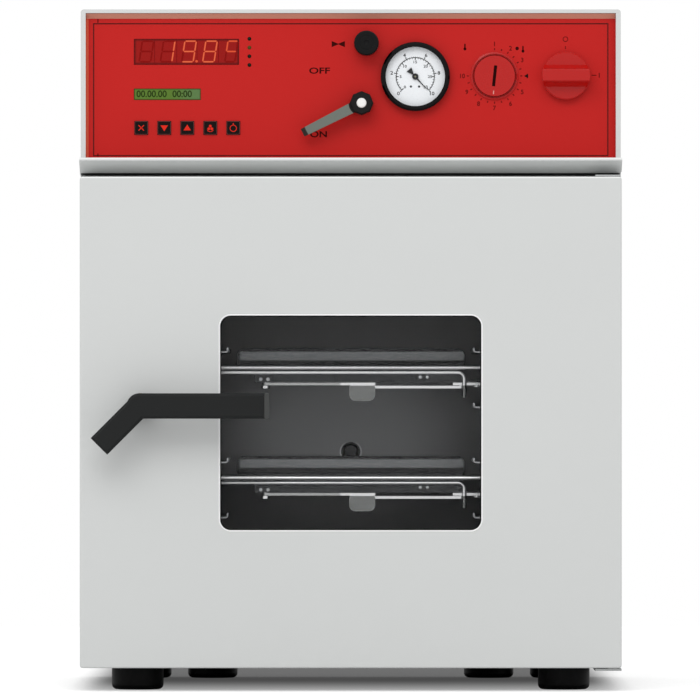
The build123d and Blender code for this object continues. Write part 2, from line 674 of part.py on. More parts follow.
def vacuum_lever():
    """Eight-sided hub with a flat tapering lever and a cap, on the valve's stem."""
    y1 = Y_PANEL - VAC_OFF
    y0 = y1 - VAC_HUB_T
    outline = RegularPolygon(VAC_HUB_W / 2, VAC_HUB_SIDES, major_radius=False)
    hub = along_y(Pos(VAC_X, VAC_Z) * outline, y0, y1)
    hub = chamfer(hub.faces().sort_by(Axis.Y)[0].edges(), 1.2)
    root, tip = VAC_ROOT_W / 2, VAC_LEVER_W / 2
    arm = Polygon((0, -root), (VAC_LEVER_L, -tip), (VAC_LEVER_L, tip), (0, root), align=None)
    lever = along_y(arm, y0 + 2, y0 + 2 + VAC_LEVER_T)
    lever = chamfer(lever.faces().sort_by(Axis.X)[-1].edges().sort_by(Axis.Y)[0], VAC_TIP_BEVEL)
    lever = Pos(VAC_X, 0, VAC_Z) * Rot(0, -VAC_LEVER_DEG, 0) * lever
    cap = turned(VAC_X, VAC_Z, rounded_disc(VAC_CAP_R, y0 - VAC_CAP_T, y0 + 1))
    return hub + lever + cap + rod_y(VAC_X, VAC_Z, VALVE_STEM_R, y1, Y_PANEL_BACK + 16)


def valve_body(x, z):
    """Square brass valve block behind the panel, bored for its stem."""
    block = along_y(Pos(x, z) * plate(VALVE_BODY, VALVE_BODY, 3), Y_PANEL_BACK, Y_PANEL_BACK + VALVE_BODY_L)
    return block - rod_y(x, z, VALVE_STEM_R + RUN, Y_PANEL_BACK - 1, Y_PANEL_BACK + 18)


# ---------------------------------------------------------------- chamber
def gasket_ring():
    """Outline of the gasket and of its groove."""
    inner = GASKET_SIDE - 2 * GASKET_W
    return plate(GASKET_SIDE, GASKET_SIDE, CHAMBER_R + GASKET_W) - plate(inner, inner, CHAMBER_R)


def chamber_vessel():
    """Welded box, open at the front, with a machined flange, gasket groove and rear ports."""
    outer = CHAMBER + 2 * VESSEL_WALL
    wall = Pos(0, CHAMBER_Z) * plate(outer, outer, CHAMBER_R + VESSEL_WALL)
    shell = along_y(wall, FLANGE_Y, CHAMBER_BACK + VESSEL_WALL)
    shell += along_y(Pos(0, CHAMBER_Z) * plate(FLANGE, FLANGE, CHAMBER_R), FLANGE_Y, FLANGE_Y + FLANGE_T)
    groove = gasket_ring()
    shell -= along_y(Pos(0, CHAMBER_Z) * groove, FLANGE_Y - 1, FLANGE_Y + GASKET_DEEP)
    shell -= along_y(Pos(0, CHAMBER_Z) * plate(CHAMBER, CHAMBER, CHAMBER_R), FLANGE_Y - 1, CHAMBER_BACK)
    port = rod_y(0, PORT_Z, PORT_R + PORT_WALL, CHAMBER_BACK - 2, CHAMBER_BACK + PORT_TUBE_L)
    ring = rod_y(0, PORT_Z, PORT_R + PORT_WALL, CHAMBER_BACK - PORT_RING_T, CHAMBER_BACK)
    return shell + port + ring - rod_y(0, PORT_Z, PORT_R, CHAMBER_BACK - 4, CHAMBER_BACK + PORT_TUBE_L + 1)


def door_gasket():
    """Moulded ring in the flange's groove, standing out to just short of the glass."""
    ring = gasket_ring()
    return along_y(Pos(0, CHAMBER_Z) * ring, Y_DOOR_BACK + FIT, FLANGE_Y + GASKET_DEEP)


def insulation_jacket():
    """Mineral wool jacket round the sides and back of the vessel."""
    inner = CHAMBER + 2 * (VESSEL_WALL + HEATER_T) + 2 * FIT
    outer = inner + 2 * INSULATION
    y0 = Y_CASE + KEEPER_D + 2 * FIT
    y1 = CHAMBER_BACK + VESSEL_WALL + INSULATION
    jacket = along_y(Pos(0, CHAMBER_Z) * plate(outer, outer, CHAMBER_R), y0, y1)
    room = Pos(0, CHAMBER_Z) * plate(inner, inner, CHAMBER_R)
    jacket -= along_y(room, y0 - 1, CHAMBER_BACK + VESSEL_WALL + FIT)
    return jacket - rod_y(0, PORT_Z, PORT_R + PORT_WALL + FIT, y0, y1 + 1)


def heater_mats():
    """Four flat heating mats on the vessel's outside walls."""
    side = CHAMBER / 2 + VESSEL_WALL
    half = CHAMBER / 2 - HEATER_MARGIN
    y0, y1 = Y_CASE + HEATER_FRONT, CHAMBER_BACK - HEATER_MARGIN
    made = []
    for sign in (-1, 1):
        low, high = sorted((sign * side, sign * (side + HEATER_T)))
        made.append(bar(low, high, y0, y1, CHAMBER_Z - half, CHAMBER_Z + half))
        made.append(bar(-half, half, y0, y1, CHAMBER_Z + low, CHAMBER_Z + high))
    return made


def rail_outline():
    """Bent rail section in (X, Z): web on the wall, ledge, and guide with a turned-up lip."""
    web, ledge, lip = WALL_X - RAIL_T, WALL_X - RAIL_LEDGE_W, WALL_X - RAIL_GUIDE_W
    guide = RAIL_GUIDE_UP
    return Polygon((WALL_X, -RAIL_WEB_DOWN), (WALL_X, guide), (lip + RAIL_T, guide),
                   (lip + RAIL_T, guide + RAIL_LIP), (lip, guide + RAIL_LIP), (lip, guide - RAIL_T),
                   (web, guide - RAIL_T), (web, 0), (ledge, 0), (ledge, -RAIL_T), (web, -RAIL_T),
                   (web, -RAIL_WEB_DOWN), align=None)


def shelf_rails():
    """A rail at each level on both side walls."""
    y0 = Y_CASE + RAIL_FRONT
    rails = []
    for level in range(RAILS):
        right = along_y(Pos(0, ledge_z(level)) * rail_outline(), y0, y0 + RAIL_L)
        bend = right.edges().filter_by(Axis.Y).sort_by(Axis.X)[0]
        corners = [e for e in right.edges().filter_by(Axis.Y)
                   if abs(e.center().X - bend.center().X) < FIT
                   and e.center().Z < ledge_z(level) + RAIL_GUIDE_UP]
        right = fillet(corners, RAIL_LIP_R)
        rails += [right, mirror(right, Plane.YZ)]
    return rails


def temperature_sensor():
    """Sensor rod through the chamber's rear wall, above the port."""
    return rod_y(0, PORT_Z + SENSOR_UP, SENSOR_R, CHAMBER_BACK - SENSOR_L, CHAMBER_BACK)


# ---------------------------------------------------------------- shelves and their clamps
def shelf_front():
    return Y_CASE + SHELF_FRONT


def link_line():
    return shelf_front() + CLAMP_BACK + LINK_BACK


def shelf(z):
    """Sheet shelf: rolled front hem and a rear upstand with rounded corners."""
    y0 = shelf_front()
    y1 = y0 + SHELF_D
    floor = bar(-SHELF_W / 2, SHELF_W / 2, y0, y1, z, z + SHELF_T)
    hem = along_x(Pos(y0, z + SHELF_T - HEM_R) * Circle(HEM_R), -SHELF_W / 2, SHELF_W / 2)
    stand = Pos(0, z + UPSTAND_H / 2) * RectangleRounded(UPSTAND_W, UPSTAND_H + 2 * SHELF_T, UPSTAND_R)
    stand = stand & box_outline((-UPSTAND_W / 2, UPSTAND_W / 2, z, z + UPSTAND_H + SHELF_T))
    return floor + hem + along_y(stand, y1 - SHELF_T, y1)


def clamp_frame(z):
    """Channel under the shelf's front edge, the pad's rivet, the link's bolt and the pull wire."""
    y0 = shelf_front() + CLAMP_BACK
    low = z - CLAMP_DROP
    web = bar(BRACKET_X, CLAMP_X1, y0, y0 + SHELF_T, low, z)
    top = bar(BRACKET_X, CLAMP_X1, y0, y0 + CLAMP_D, z - SHELF_T, z)
    sole = bar(BRACKET_X, PAD_RIVET_X + SOLE_END, y0, y0 + CLAMP_D, low, low + SHELF_T)
    head_top = low - LINK_T - 2 * LINK_GAP
    guide = rod_z(PAD_RIVET_X, link_line(), PAD_RIVET_R, head_top, low)
    guide += rod_z(PAD_RIVET_X, link_line(), PAD_HEAD_R, head_top - LINK_T / 2, head_top)
    bolt = rod_z(PIVOT_A_X, link_line(), PIVOT_R, head_top, low)
    bolt += along_z(Pos(PIVOT_A_X, link_line()) * RegularPolygon(NUT_R, 6), head_top - LINK_T, head_top)
    frame = web + top + sole
    wire_y = y0 - WIRE_R
    wire_z = z - WIRE_DROP
    path = FilletPolyline((WIRE_X0, wire_y, wire_z), (WIRE_X1, wire_y, wire_z),
                          (WIRE_X1, wire_y, wire_z - WIRE_LEG), radius=WIRE_BEND)
    section = Plane((WIRE_X0, wire_y, wire_z), x_dir=(0, 1, 0), z_dir=(1, 0, 0)) * Circle(WIRE_R)
    return [frame, guide, bolt, sweep(section, path)]


def link_outline(length):
    """Flat link with round ends, from the origin along +X."""
    return Pos(length / 2, 0) * SlotCenterToCenter(length, LINK_W)


def link_left(z):
    """Left link on the frame's bolt, with the knee pin and the finger tab."""
    top = z - CLAMP_DROP - LINK_GAP
    body = link_outline(KNEE_X - PIVOT_A_X) - Circle(PIVOT_R + RUN)
    link = along_z(Pos(PIVOT_A_X, link_line()) * body, top - LINK_T, top)
    knee = rod_z(KNEE_X, link_line(), PIVOT_R, top - 2 * LINK_T - 2 * LINK_GAP, top - LINK_T)
    tab_y = link_line() - KNEE_EYE_R - LINK_GAP - TAB_T
    low = top - LINK_T - TAB_H
    face = Pos(KNEE_X - 3, (top + low) / 2) * RectangleRounded(TAB_W, top - low, TAB_R)
    face += box_outline((KNEE_X - 3 - TAB_W / 2, KNEE_X - 3 + TAB_W / 2, top - LINK_T, top))
    tab = along_y(face, tab_y, tab_y + TAB_T)
    root = bar(KNEE_X - 10, KNEE_X - 3, tab_y, link_line(), top - LINK_T, top)
    return link + knee + tab + root


def link_right(z):
    """Right link on the pad's pin, slotted over the knee pin."""
    top = z - CLAMP_DROP - LINK_T - 2 * LINK_GAP
    span = PIVOT_J_X - KNEE_X
    body = link_outline(span) - Pos(span, 0) * Circle(PIVOT_R + RUN)
    body += Circle(KNEE_EYE_R)
    body -= SlotOverall(KNEE_SLOT_L, KNEE_SLOT_W)
    return along_z(Pos(KNEE_X, link_line()) * body, top - LINK_T, top)


def clamp_pad(z):
    """Sliding pad that presses on the chamber's wall, with the pin of the right link."""
    top = z - CLAMP_DROP - LINK_GAP
    end = WALL_X - FIT
    outline = box_outline((PAD_X0, end, link_line() - PAD_W / 2, link_line() + PAD_W / 2))
    outline -= Pos(PAD_RIVET_X - 1, link_line()) * SlotOverall(PAD_SLOT_L, PAD_SLOT_W)
    pad = along_z(outline, top - LINK_T, top)
    return pad + rod_z(PIVOT_J_X, link_line(), PIVOT_R, top - 2 * LINK_T - LINK_GAP, top - LINK_T)


# ---------------------------------------------------------------- door
def door_skin():
    """Folded door tray with the window, the handle hole and the hinge bushes' holes."""
    outer = Pos(0, DOOR_MID_Z) * plate(DOOR_W, DOOR_H, DOOR_CORNER)
    skin = along_y(outer, Y_DOOR, Y_DOOR_BACK)
    skin = fillet(skin.faces().sort_by(Axis.Y)[0].edges(), DOOR_EDGE_R)
    inner = Pos(0, DOOR_MID_Z) * Rectangle(DOOR_W - 2 * SHEET, DOOR_H - 2 * SHEET)
    skin -= along_y(inner, Y_DOOR + SHEET, Y_DOOR_BACK + 1)
    skin -= along_y(Pos(0, WINDOW_Z) * plate(WINDOW_W, WINDOW_H, WINDOW_R), Y_DOOR - 1, Y_DOOR + 2 * SHEET)
    rim = [e for e in skin.faces().sort_by(Axis.Y)[0].inner_wires()[0].edges()]
    skin = chamfer(rim, WINDOW_BEVEL)
    skin -= rod_y(HANDLE_X, HANDLE_Z, HANDLE_NECK_R + FIT, Y_DOOR - 1, Y_DOOR + 2 * SHEET)
    return skin - rod_z(HINGE_X, HINGE_Y, BUSH_R + RUN, DOOR_BOTTOM - 1, DOOR_TOP + 1)


def door_back_plate():
    """Inner door plate with an opening for the glass and a hole for the latch spindle."""
    fit = 2 * (SHEET + FIT)
    outline = Pos(0, DOOR_MID_Z) * Rectangle(DOOR_W - fit, DOOR_H - fit)
    sheet = along_y(outline, Y_DOOR_BACK - DOOR_BACK_T, Y_DOOR_BACK)
    sheet -= along_y(Pos(0, CHAMBER_Z) * plate(GLASS + 2, GLASS + 2, GLASS_R), Y_DOOR, Y_DOOR_BACK + 1)
    return sheet - rod_y(HANDLE_X, HANDLE_Z, SPINDLE_R + 1.5, Y_DOOR, Y_DOOR_BACK + 1)


def window_pane():
    """Front pane behind the door skin."""
    lap = 2 * PANE_LAP
    y0 = Y_DOOR + SHEET
    outline = Pos(0, WINDOW_Z) * plate(WINDOW_W + lap, WINDOW_H + lap, WINDOW_R)
    return along_y(outline, y0, y0 + WINDOW_PANE_T)


def chamber_glass():
    """Thick square glass that closes the chamber on its gasket."""
    return along_y(Pos(0, CHAMBER_Z) * plate(GLASS, GLASS, GLASS_R), Y_DOOR_BACK - GLASS_T, Y_DOOR_BACK)


def glass_springs():
    """Leaf springs between the window pane's frame and the chamber glass, at its corners."""
    y0 = Y_DOOR + SHEET
    y1 = Y_DOOR_BACK - GLASS_T
    offset = WINDOW_W / 2 + PANE_LAP + 9.0
    half = GLASS / 2 - 40.0
    leaf = Polygon((y0, -20), (y0 + SHEET, -20), (y0 + SHEET, -10), (y1, -2), (y1, 2),
                   (y0 + SHEET, 10), (y0 + SHEET, 20), (y0, 20), align=None)
    made = []
    for x in (-offset, offset):
        for z in (-half, half):
            made.append(along_x(Pos(0, CHAMBER_Z + z) * leaf, x - 5, x + 5))
    return made


def glass_clips():
    """Corner clips on the back plate that keep the glass in the door."""
    reach = GLASS / 2
    made = []
    for sx in (-1, 1):
        for sz in (-1, 1):
            x, z = sx * (reach + 12.0), CHAMBER_Z + sz * (reach - 30.0)
            x0, x1 = sorted((x, x - sx * 18.0))
            y1 = Y_DOOR_BACK - DOOR_BACK_T
            clip = bar(x0, x1, Y_DOOR_BACK - GLASS_T - 2, Y_DOOR_BACK - GLASS_T, z - 9, z + 9)
            a, b = sorted((x, x - sx * 2.0))
            made.append(clip + bar(a, b, Y_DOOR_BACK - GLASS_T - 2, y1, z - 9, z + 9))
    return made


def hinge_bushes():
    """Bored bushes held in the door's top and bottom walls."""
    made = []
    for z0, z1 in ((DOOR_BOTTOM, DOOR_BOTTOM + BUSH_L), (DOOR_TOP - BUSH_L, DOOR_TOP)):
        bush = rod_z(HINGE_X, HINGE_Y, BUSH_R, z0, z1)
        made.append(bush - rod_z(HINGE_X, HINGE_Y, HINGE_PIN_R + RUN, z0 - 1, z1 + 1))
    return made


def handle_bearing():
    """Flanged bearing inside the door skin for the latch spindle."""
    y0 = Y_DOOR + SHEET
    bore = SPINDLE_R + RUN
    tube = SPINDLE_R + 4
    neck, flange = HANDLE_NECK_R + 2, BEARING_R + 6
    seat, end = y0 + BEARING_FLANGE_T, y0 + BEARING_FLANGE_T + BEARING_T
    step = y0 + BEARING_FLANGE_T / 2
    outside = [(neck, y0), (flange, y0), (flange, seat), (tube, seat), (tube, end)]
    profile = outside + [(bore, end), (bore, step), (neck, step)]
    return turned(HANDLE_X, HANDLE_Z, profile)


def door_handle():
    """Bevelled lever: a bar to the right, a tail bent down to the left, and a round neck."""
    y0, y1 = Y_HANDLE, Y_HANDLE + HANDLE_T
    turn = Pos(HANDLE_X, HANDLE_Z)
    half = HANDLE_BAR_W / 2
    x1 = HANDLE_X + HANDLE_BAR_END
    tail = Rot(0, 0, 225) * Pos(HANDLE_TAIL_L / 2, 0) * Rectangle(HANDLE_TAIL_L, HANDLE_TAIL_W)
    grip = Pos(HANDLE_BAR_END / 2, 0) * Rectangle(HANDLE_BAR_END, HANDLE_BAR_W)
    outline = turn * (grip + tail + Circle(half))
    body = along_y(outline, y0, y1)
    body = chamfer(body.faces().sort_by(Axis.Y)[0].edges(), HANDLE_BEVEL)
    bevel = Polygon((x1 - HANDLE_END_BEVEL, y0 - 1), (x1 + 1, y0 - 1), (x1 + 1, y0 + HANDLE_END_BEVEL),
                    (x1, y0 + HANDLE_END_BEVEL), (x1 - HANDLE_END_BEVEL, y0), align=None)
    body -= along_z(bevel, HANDLE_Z - HANDLE_BAR_W, HANDLE_Z + HANDLE_BAR_W)
    neck = rod_y(HANDLE_X, HANDLE_Z, HANDLE_NECK_R, y1, Y_DOOR + SHEET)
    return body + neck


def latch_spindle():
    """Spindle through the door with the latch finger at its rear end."""
    y0 = Y_DOOR + SHEET
    y1 = Y_CASE + FINGER_BACK
    spindle = rod_y(HANDLE_X, HANDLE_Z, SPINDLE_R, y0, y1)
    finger = Pos(0, FINGER_L / 2) * SlotCenterToCenter(FINGER_L - FINGER_W / 2, FINGER_W, rotation=90)
    boss = Circle(SPINDLE_R + FINGER_BOSS)
    return spindle + along_y(Pos(HANDLE_X, HANDLE_Z) * (finger + boss), y1 - FINGER_T, y1)


def hinge_brackets():
    """Lower plate under the casing and upper plate in the nose, each with its pin and screws."""
    x0 = DOOR_W / 2 - HINGE_PLATE_W
    x1 = DOOR_W / 2
    front = HINGE_Y - BUSH_R
    low = FOOT_H - HINGE_PLATE_T
    lower = bar(x0, x1, front, Y_CASE + 30, low, FOOT_H)
    lower += rod_z(HINGE_X, HINGE_Y, HINGE_PIN_R, FOOT_H, DOOR_BOTTOM + HINGE_PIN_L)
    lower += rod_z(HINGE_X, HINGE_Y, BUSH_R - 1, FOOT_H, DOOR_BOTTOM - FIT)
    for x in (x0 + 7, x1 - 7):
        lower += rod_z(x, Y_CASE + 18, HINGE_SCREW_R, low - HINGE_SCREW_H, low)
    leg_top = NOSE_Z + HINGE_LEG_H
    z0 = NOSE_Z - FIT - HINGE_TOP_T
    upper = bar(x0, x1 - SHEET, front, Y_CASE, z0, z0 + HINGE_TOP_T)
    upper += bar(x0, x1 - SHEET, Y_CASE - 2, Y_CASE, z0, leg_top)
    upper += rod_z(HINGE_X, HINGE_Y, HINGE_PIN_R, DOOR_TOP - HINGE_PIN_L, z0)
    return [lower, upper]


def latch_keeper():
    """Pressed pocket behind the front frame that the latch finger turns in."""
    y0 = Y_CASE + FRAME_T
    y1 = Y_CASE + KEEPER_D
    cup = along_y(keeper_outline(KEEPER_WALL), y0, y1)
    return cup - along_y(keeper_outline(), y0 - 1, y1 - KEEPER_WALL)


# ---------------------------------------------------------------- rear fittings
def vacuum_port():
    """Small-flange port on the rear panel."""
    y1 = Y_REAR + REAR_REACH
    wall = PORT_R + PORT_WALL
    y0 = Y_REAR - PIPE_END
    neck = y1 - PORT_FLANGE_T - 2
    profile = [(PORT_R, y0), (wall, y0), (wall, neck), (PORT_FLANGE_R, neck + 3), (PORT_FLANGE_R, y1),
               (PORT_R, y1)]
    return turned(PORT_X, PORT_REAR_Z, profile)


def gas_nozzle():
    """Hose nozzle with a plain shank and grooves towards its end."""
    y1 = Y_REAR + NOZZLE_L
    y0 = Y_REAR - PIPE_END
    shank = Y_REAR + NOZZLE_FLANGE_T
    root, r, low = NOZZLE_R + 2, NOZZLE_R, NOZZLE_R - NOZZLE_GROOVE
    profile = [(NOZZLE_BORE_R, y0), (root, y0), (root, Y_REAR), (NOZZLE_FLANGE_R, Y_REAR),
               (NOZZLE_FLANGE_R, shank), (r, shank), (r, y1 - 8), (low, y1 - 7), (r, y1 - 5), (low, y1 - 4),
               (r, y1 - 2), (low, y1), (NOZZLE_BORE_R, y1)]
    return turned(NOZZLE_X, NOZZLE_Z, profile)


def mains_inlet():
    """Appliance inlet in the rear panel: flange, body and a recess with three contacts."""
    y0 = Y_REAR - INLET_L
    y1 = Y_REAR + INLET_PROUD
    middle = Pos(INLET_X, INLET_Z)
    body = along_y(middle * Rectangle(INLET_W, INLET_H), y0, Y_REAR)
    body += along_y(middle * plate(INLET_W + 12, INLET_H + 4, 3), Y_REAR, Y_REAR + 3)
    body += along_y(middle * plate(INLET_W, INLET_H - 12, 3), Y_REAR + 3, y1)
    body -= along_y(middle * plate(INLET_W - 6, INLET_H - 18, 2), Y_REAR - 14, y1 + 1)
    for dx, dz in ((-7, 0), (7, 0), (0, 4)):
        body += along_y(Pos(INLET_X + dx, INLET_Z + dz) * Rectangle(2, 5), Y_REAR - 14, Y_REAR - 2)
    return body


def vacuum_pipes():
    """Pipes from the chamber's port to the vacuum valve and on to the rear fittings."""
    r = PIPE_R
    y_valve = Y_PANEL_BACK + VALVE_BODY_L
    rise_y = CHAMBER_BACK + PORT_TUBE_L + PIPE_RUN
    made = []
    high, low = VAC_Z + VALVE_IN_DZ, VAC_Z - VALVE_OUT_DZ
    out_x = VAC_X - VALVE_OUT_DX
    y_out, y_turn, y_end = y_valve + PIPE_LEAD, Y_REAR - PIPE_LEAD, Y_REAR - PIPE_END
    route = [((0, rise_y - PIPE_RUN, PORT_Z), (0, rise_y, PORT_Z), (VAC_X, rise_y, high),
              (VAC_X, y_valve, high)),
             ((out_x, y_valve, low), (out_x, y_out, low), (PORT_X, y_turn, PORT_REAR_Z),
              (PORT_X, y_end, PORT_REAR_Z)),
             ((AIR_X, y_valve, AIR_Z), (AIR_X, y_out, AIR_Z), (NOZZLE_X, y_turn, NOZZLE_Z),
              (NOZZLE_X, y_end, NOZZLE_Z))]
    for points in route:
        path = FilletPolyline(*points, radius=PIPE_BEND)
        start = Vector(*points[0])
        section = Plane(start, z_dir=Vector(*points[1]) - start) * Circle(r)
        made.append(sweep(section, path))
    return made


# ---------------------------------------------------------------- build
def build():
    os.makedirs("parts", exist_ok=True)
    save("casing_shell", casing_shell())
    save("base_pan", base_pan())
    save("rear_panel", rear_panel())
    save("front_frame", front_frame())
    save("nose_trim", nose_trim())
    save("feet", *feet())
    save("control_panel", control_panel())
    save("led_display", display(LED_BOX))
    save("lcd_display", display(LCD_BOX))
    save("indicator_lamps", *[lamp(i) for i in range(LAMPS)])
    for i in range(KEYS):
        save(f"key_{i + 1}", key(i))
    save("controller_board", controller_board())
    save("gauge_case", gauge_case())
    save("gauge_dial", gauge_dial())
    save("gauge_lens", gauge_lens())
    save("gauge_pointer", gauge_pointer())
    save("limiter_body", *limiter_body())
    save("limiter_dial", limiter_dial())
    save("main_switch_body", main_switch_body())
    save("main_switch_knob", main_switch_knob())
    save("air_valve_body", valve_body(AIR_X, AIR_Z))
    save("air_valve_knob", air_valve_knob())
    save("vacuum_valve_body", valve_body(VAC_X, VAC_Z))
    save("vacuum_lever", vacuum_lever())
    save("chamber_vessel", chamber_vessel())
    save("door_gasket", door_gasket())
    save("insulation_jacket", insulation_jacket())
    save("heater_mats", *heater_mats())
    save("shelf_rails", *shelf_rails())
    save("temperature_sensor", temperature_sensor())
    for number, level in enumerate(SHELF_RAILS, start=1):
        z = ledge_z(level)
        save(f"shelf_{number}", shelf(z))
        save(f"clamp_frame_{number}", *clamp_frame(z))
        save(f"link_left_{number}", link_left(z))
        save(f"link_right_{number}", link_right(z))
        save(f"clamp_pad_{number}", clamp_pad(z))
    save("door_skin", door_skin())
    save("door_back_plate", door_back_plate())
    save("window_pane", window_pane())
    save("chamber_glass", chamber_glass())
    save("glass_springs", *glass_springs())
    save("glass_clips", *glass_clips())
    save("hinge_bushes", *hinge_bushes())
    save("handle_bearing", handle_bearing())
    save("door_handle", door_handle())
    save("latch_spindle", latch_spindle())
    save("hinge_brackets", *hinge_brackets())
    save("latch_keeper", latch_keeper())
    save("vacuum_port", vacuum_port())
    save("gas_nozzle", gas_nozzle())
    save("mains_inlet", mains_inlet())
    save("vacuum_pipes", *vacuum_pipes())


build()
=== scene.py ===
import json
import math
import bpy
import numpy as np
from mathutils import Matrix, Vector


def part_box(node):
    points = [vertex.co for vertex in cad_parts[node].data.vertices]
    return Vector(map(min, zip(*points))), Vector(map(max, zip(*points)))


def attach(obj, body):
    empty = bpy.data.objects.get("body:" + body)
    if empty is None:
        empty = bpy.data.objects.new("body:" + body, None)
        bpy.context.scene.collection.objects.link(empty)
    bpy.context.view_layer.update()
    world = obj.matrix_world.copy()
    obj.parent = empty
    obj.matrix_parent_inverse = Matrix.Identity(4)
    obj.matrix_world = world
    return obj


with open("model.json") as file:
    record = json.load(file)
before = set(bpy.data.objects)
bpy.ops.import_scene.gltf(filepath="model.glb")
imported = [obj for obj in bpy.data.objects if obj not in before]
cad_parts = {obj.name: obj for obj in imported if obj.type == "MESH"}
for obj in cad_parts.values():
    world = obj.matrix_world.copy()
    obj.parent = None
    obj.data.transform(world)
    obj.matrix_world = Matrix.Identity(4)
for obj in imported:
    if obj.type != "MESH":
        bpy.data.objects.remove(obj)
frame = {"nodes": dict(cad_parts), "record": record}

bl_info = {
    "name": "Vacuum oven looks",
    "version": (1, 0, 0),
    "blender": (4, 5, 0),
    "location": "3D View > Sidebar > Oven",
    "description": "Finishes, prints, displays and small fasteners of a bench vacuum oven",
    "category": "Object",
}

MM = 0.001
NODES = frame["nodes"]
RECORD = frame["record"]

FULL_TURN = 2 * math.pi
BOLD = 0.02

# Places on the control panel: (X, Z) or (left, right, low, high), in millimetres.
GAUGE = (61.7, 585.9)
LIMITER = (137.5, 586.7)
LEVER_HUB = (10.3, 560.3)
LEVER_TIP_R = 58.6
LEVER_HUB_R = 12.2
LEVER_CAP_R = 4.5
PANEL_Y = -184.5
LED_BOX = (-207.2, -107.0, 597.6, 622.0)
LCD_BOX = (-207.2, -143.6, 563.9, 574.5)
OLIVE_LAMP_BOX = (-110.0, -80.0, 610.65, 617.05)
KEY_FIRST_X = -200.3
KEY_PITCH = 22.0
KEY_Z = 537.0
KEY_SIDE = 12.7

# Places in the chamber and on the door.
CHANNEL_LEVELS = (308.65, 202.75)
CHANNEL_FRONT_Y = -156.5
PORT = (0.0, 226.4)
PORT_RING_R = 11.1
PORT_BORE_R = 9.4
PIPE_R = 8.0
WALL_LIGHT = (-10.0, 246.0)
WALL_LIGHT_R = 50.0
WALL_LIGHT_SOFT = 102.0
WALL_LIGHT_STRETCH = 1.3
SHELF_BAND = (-110.5, 112.5, 80.0, 110.0)
WINDOW_W = 249.0
WINDOW_H = 204.7
WINDOW_R = 10.5
WINDOW_Z = 255.0
RAIL_NODE = "shelf_rails"

# Ramps that masks are made of: an axis, and the places along it where the mask is 0 and 1.
NOSE_GAP_SHADE = (("Z", 489.2, 489.3), ("Z", 493.2, 492.8), ("Y", -219.5, -218.5), ("Y", -189.2, -189.4),
            ("X", -257.2, -256.9), ("X", 257.2, 256.9))
LIT_EDGES = ((487.8, 489.1), (505.6, 507.2))
EDGE_SOFT = 0.3
DOOR_FACE = ("Y", -238.0, -238.4)
PANEL_GROOVE_SHADE = ("Y", -184.3, -184.1)
PANEL_LEFT_HIGHLIGHT = ("X", -250.5, -250.9)
PANEL_FOOT_SHADE = ("Z", 508.5, 508.0)
PANEL_LIP_REFLECTION = ("Y", -184.6, -184.9)
LCD_RIGHT = ("X", -175.0, -146.0)
REAR_WALL = ("Y", 60.0, 95.0)
WALL_TOP_SHADE = ("Z", 306.0, 332.0)
FLANGE = ("Y", -168.0, -172.0)
PORT_FACE = ("Y", 102.3, 102.1)
PORT_SIDES = ("Z", 238.0, 229.0)
PORT_INSIDE = ("Y", 100.0, 100.3)
PIPE_END_SHADE = ("Y", 163.5, 163.0)
SHELF_TRAY = ("Y", -160.5, -160.0)
SHELF_UPSTAND = ("Y", 91.0, 91.5)
BEHIND_WIRE = ("Y", -156.62, -156.55)
TAB_FACE = ("Y", -152.1, -152.3)
JAW_SIDE = ("X", 129.5, 131.0)
LEFT_LINK = ("X", -8.0, -12.0)
HANDLE_END_HIGHLIGHT = ("X", -82.0, -81.2)

# Bands over each shelf level: low, high and the length of their soft edge.
UPSTAND_SHADE_BAND = (-1.0, 20.0, 1.0)
LIGHT_BAND = (8.4, 15.8, 1.0)
CHANNEL_SHADE_BAND = (-14.6, 0.0, 0.1)
TAB_BAND = (-34.0, -18.0, 0.2)
JAW_BAND = (-22.0, -14.0, 0.2)
LINK_BAND = (-18.0, -14.9, 0.1)
FLOOR_SHADE = (("X", -278.0, -226.0), ("X", 278.0, 226.0), ("Y", -350.0, 160.0), ("Y", 1000.0, 600.0))


def srgb(red, green, blue):
    """Linear colour of an 8-bit screen colour."""
    parts = np.array((red, green, blue)) / 255.0
    low = parts / 12.92
    high = ((parts + 0.055) / 1.055) ** 2.4
    return tuple(float(v) for v in np.where(parts <= 0.04045, low, high))


# Colours that masks lay over a material. Most of them are painted light and shade, as the material that uses
# each one says.
TINTS = {
    "led_recess_shade": srgb(92, 6, 5),
    "lcd_right": srgb(92, 124, 74),
    "lcd_recess_shade": srgb(44, 70, 24),
    "olive_lamp": srgb(84, 70, 26),
    "nose_gap_shade": srgb(12, 12, 12),
    "lit_edge": srgb(242, 244, 243),
    "panel_groove_shade": srgb(104, 12, 9),
    "panel_left_highlight": srgb(222, 92, 64),
    "panel_foot_shade": srgb(84, 10, 8),
    "panel_lip_reflection": srgb(216, 152, 130),
    "lever_tip": srgb(46, 48, 44),
    "lever_hub": srgb(9, 9, 9),
    "lever_cap": srgb(246, 246, 244),
    "wall_corner_shade": srgb(124, 124, 125),
    "wall_top_shade": srgb(152, 152, 153),
    "flange": srgb(176, 177, 178),
    "port_ring_highlight": srgb(236, 237, 238),
    "port_bore_shade": srgb(86, 86, 87),
    "pipe_end_shade": srgb(96, 96, 97),
    "tray": srgb(158, 160, 162),
    "upstand": srgb(62, 62, 63),
    "upstand_lit_band": srgb(132, 134, 135),
    "channel": srgb(66, 67, 68),
    "tab": srgb(128, 130, 129),
    "jaw": srgb(44, 45, 45),
    "left_link": srgb(186, 188, 188),
    "handle_end_highlight": srgb(80, 81, 80),
    "floor_shade": (0.13, 0.13, 0.13),
}
FAINT_INK = srgb(98, 15, 12)

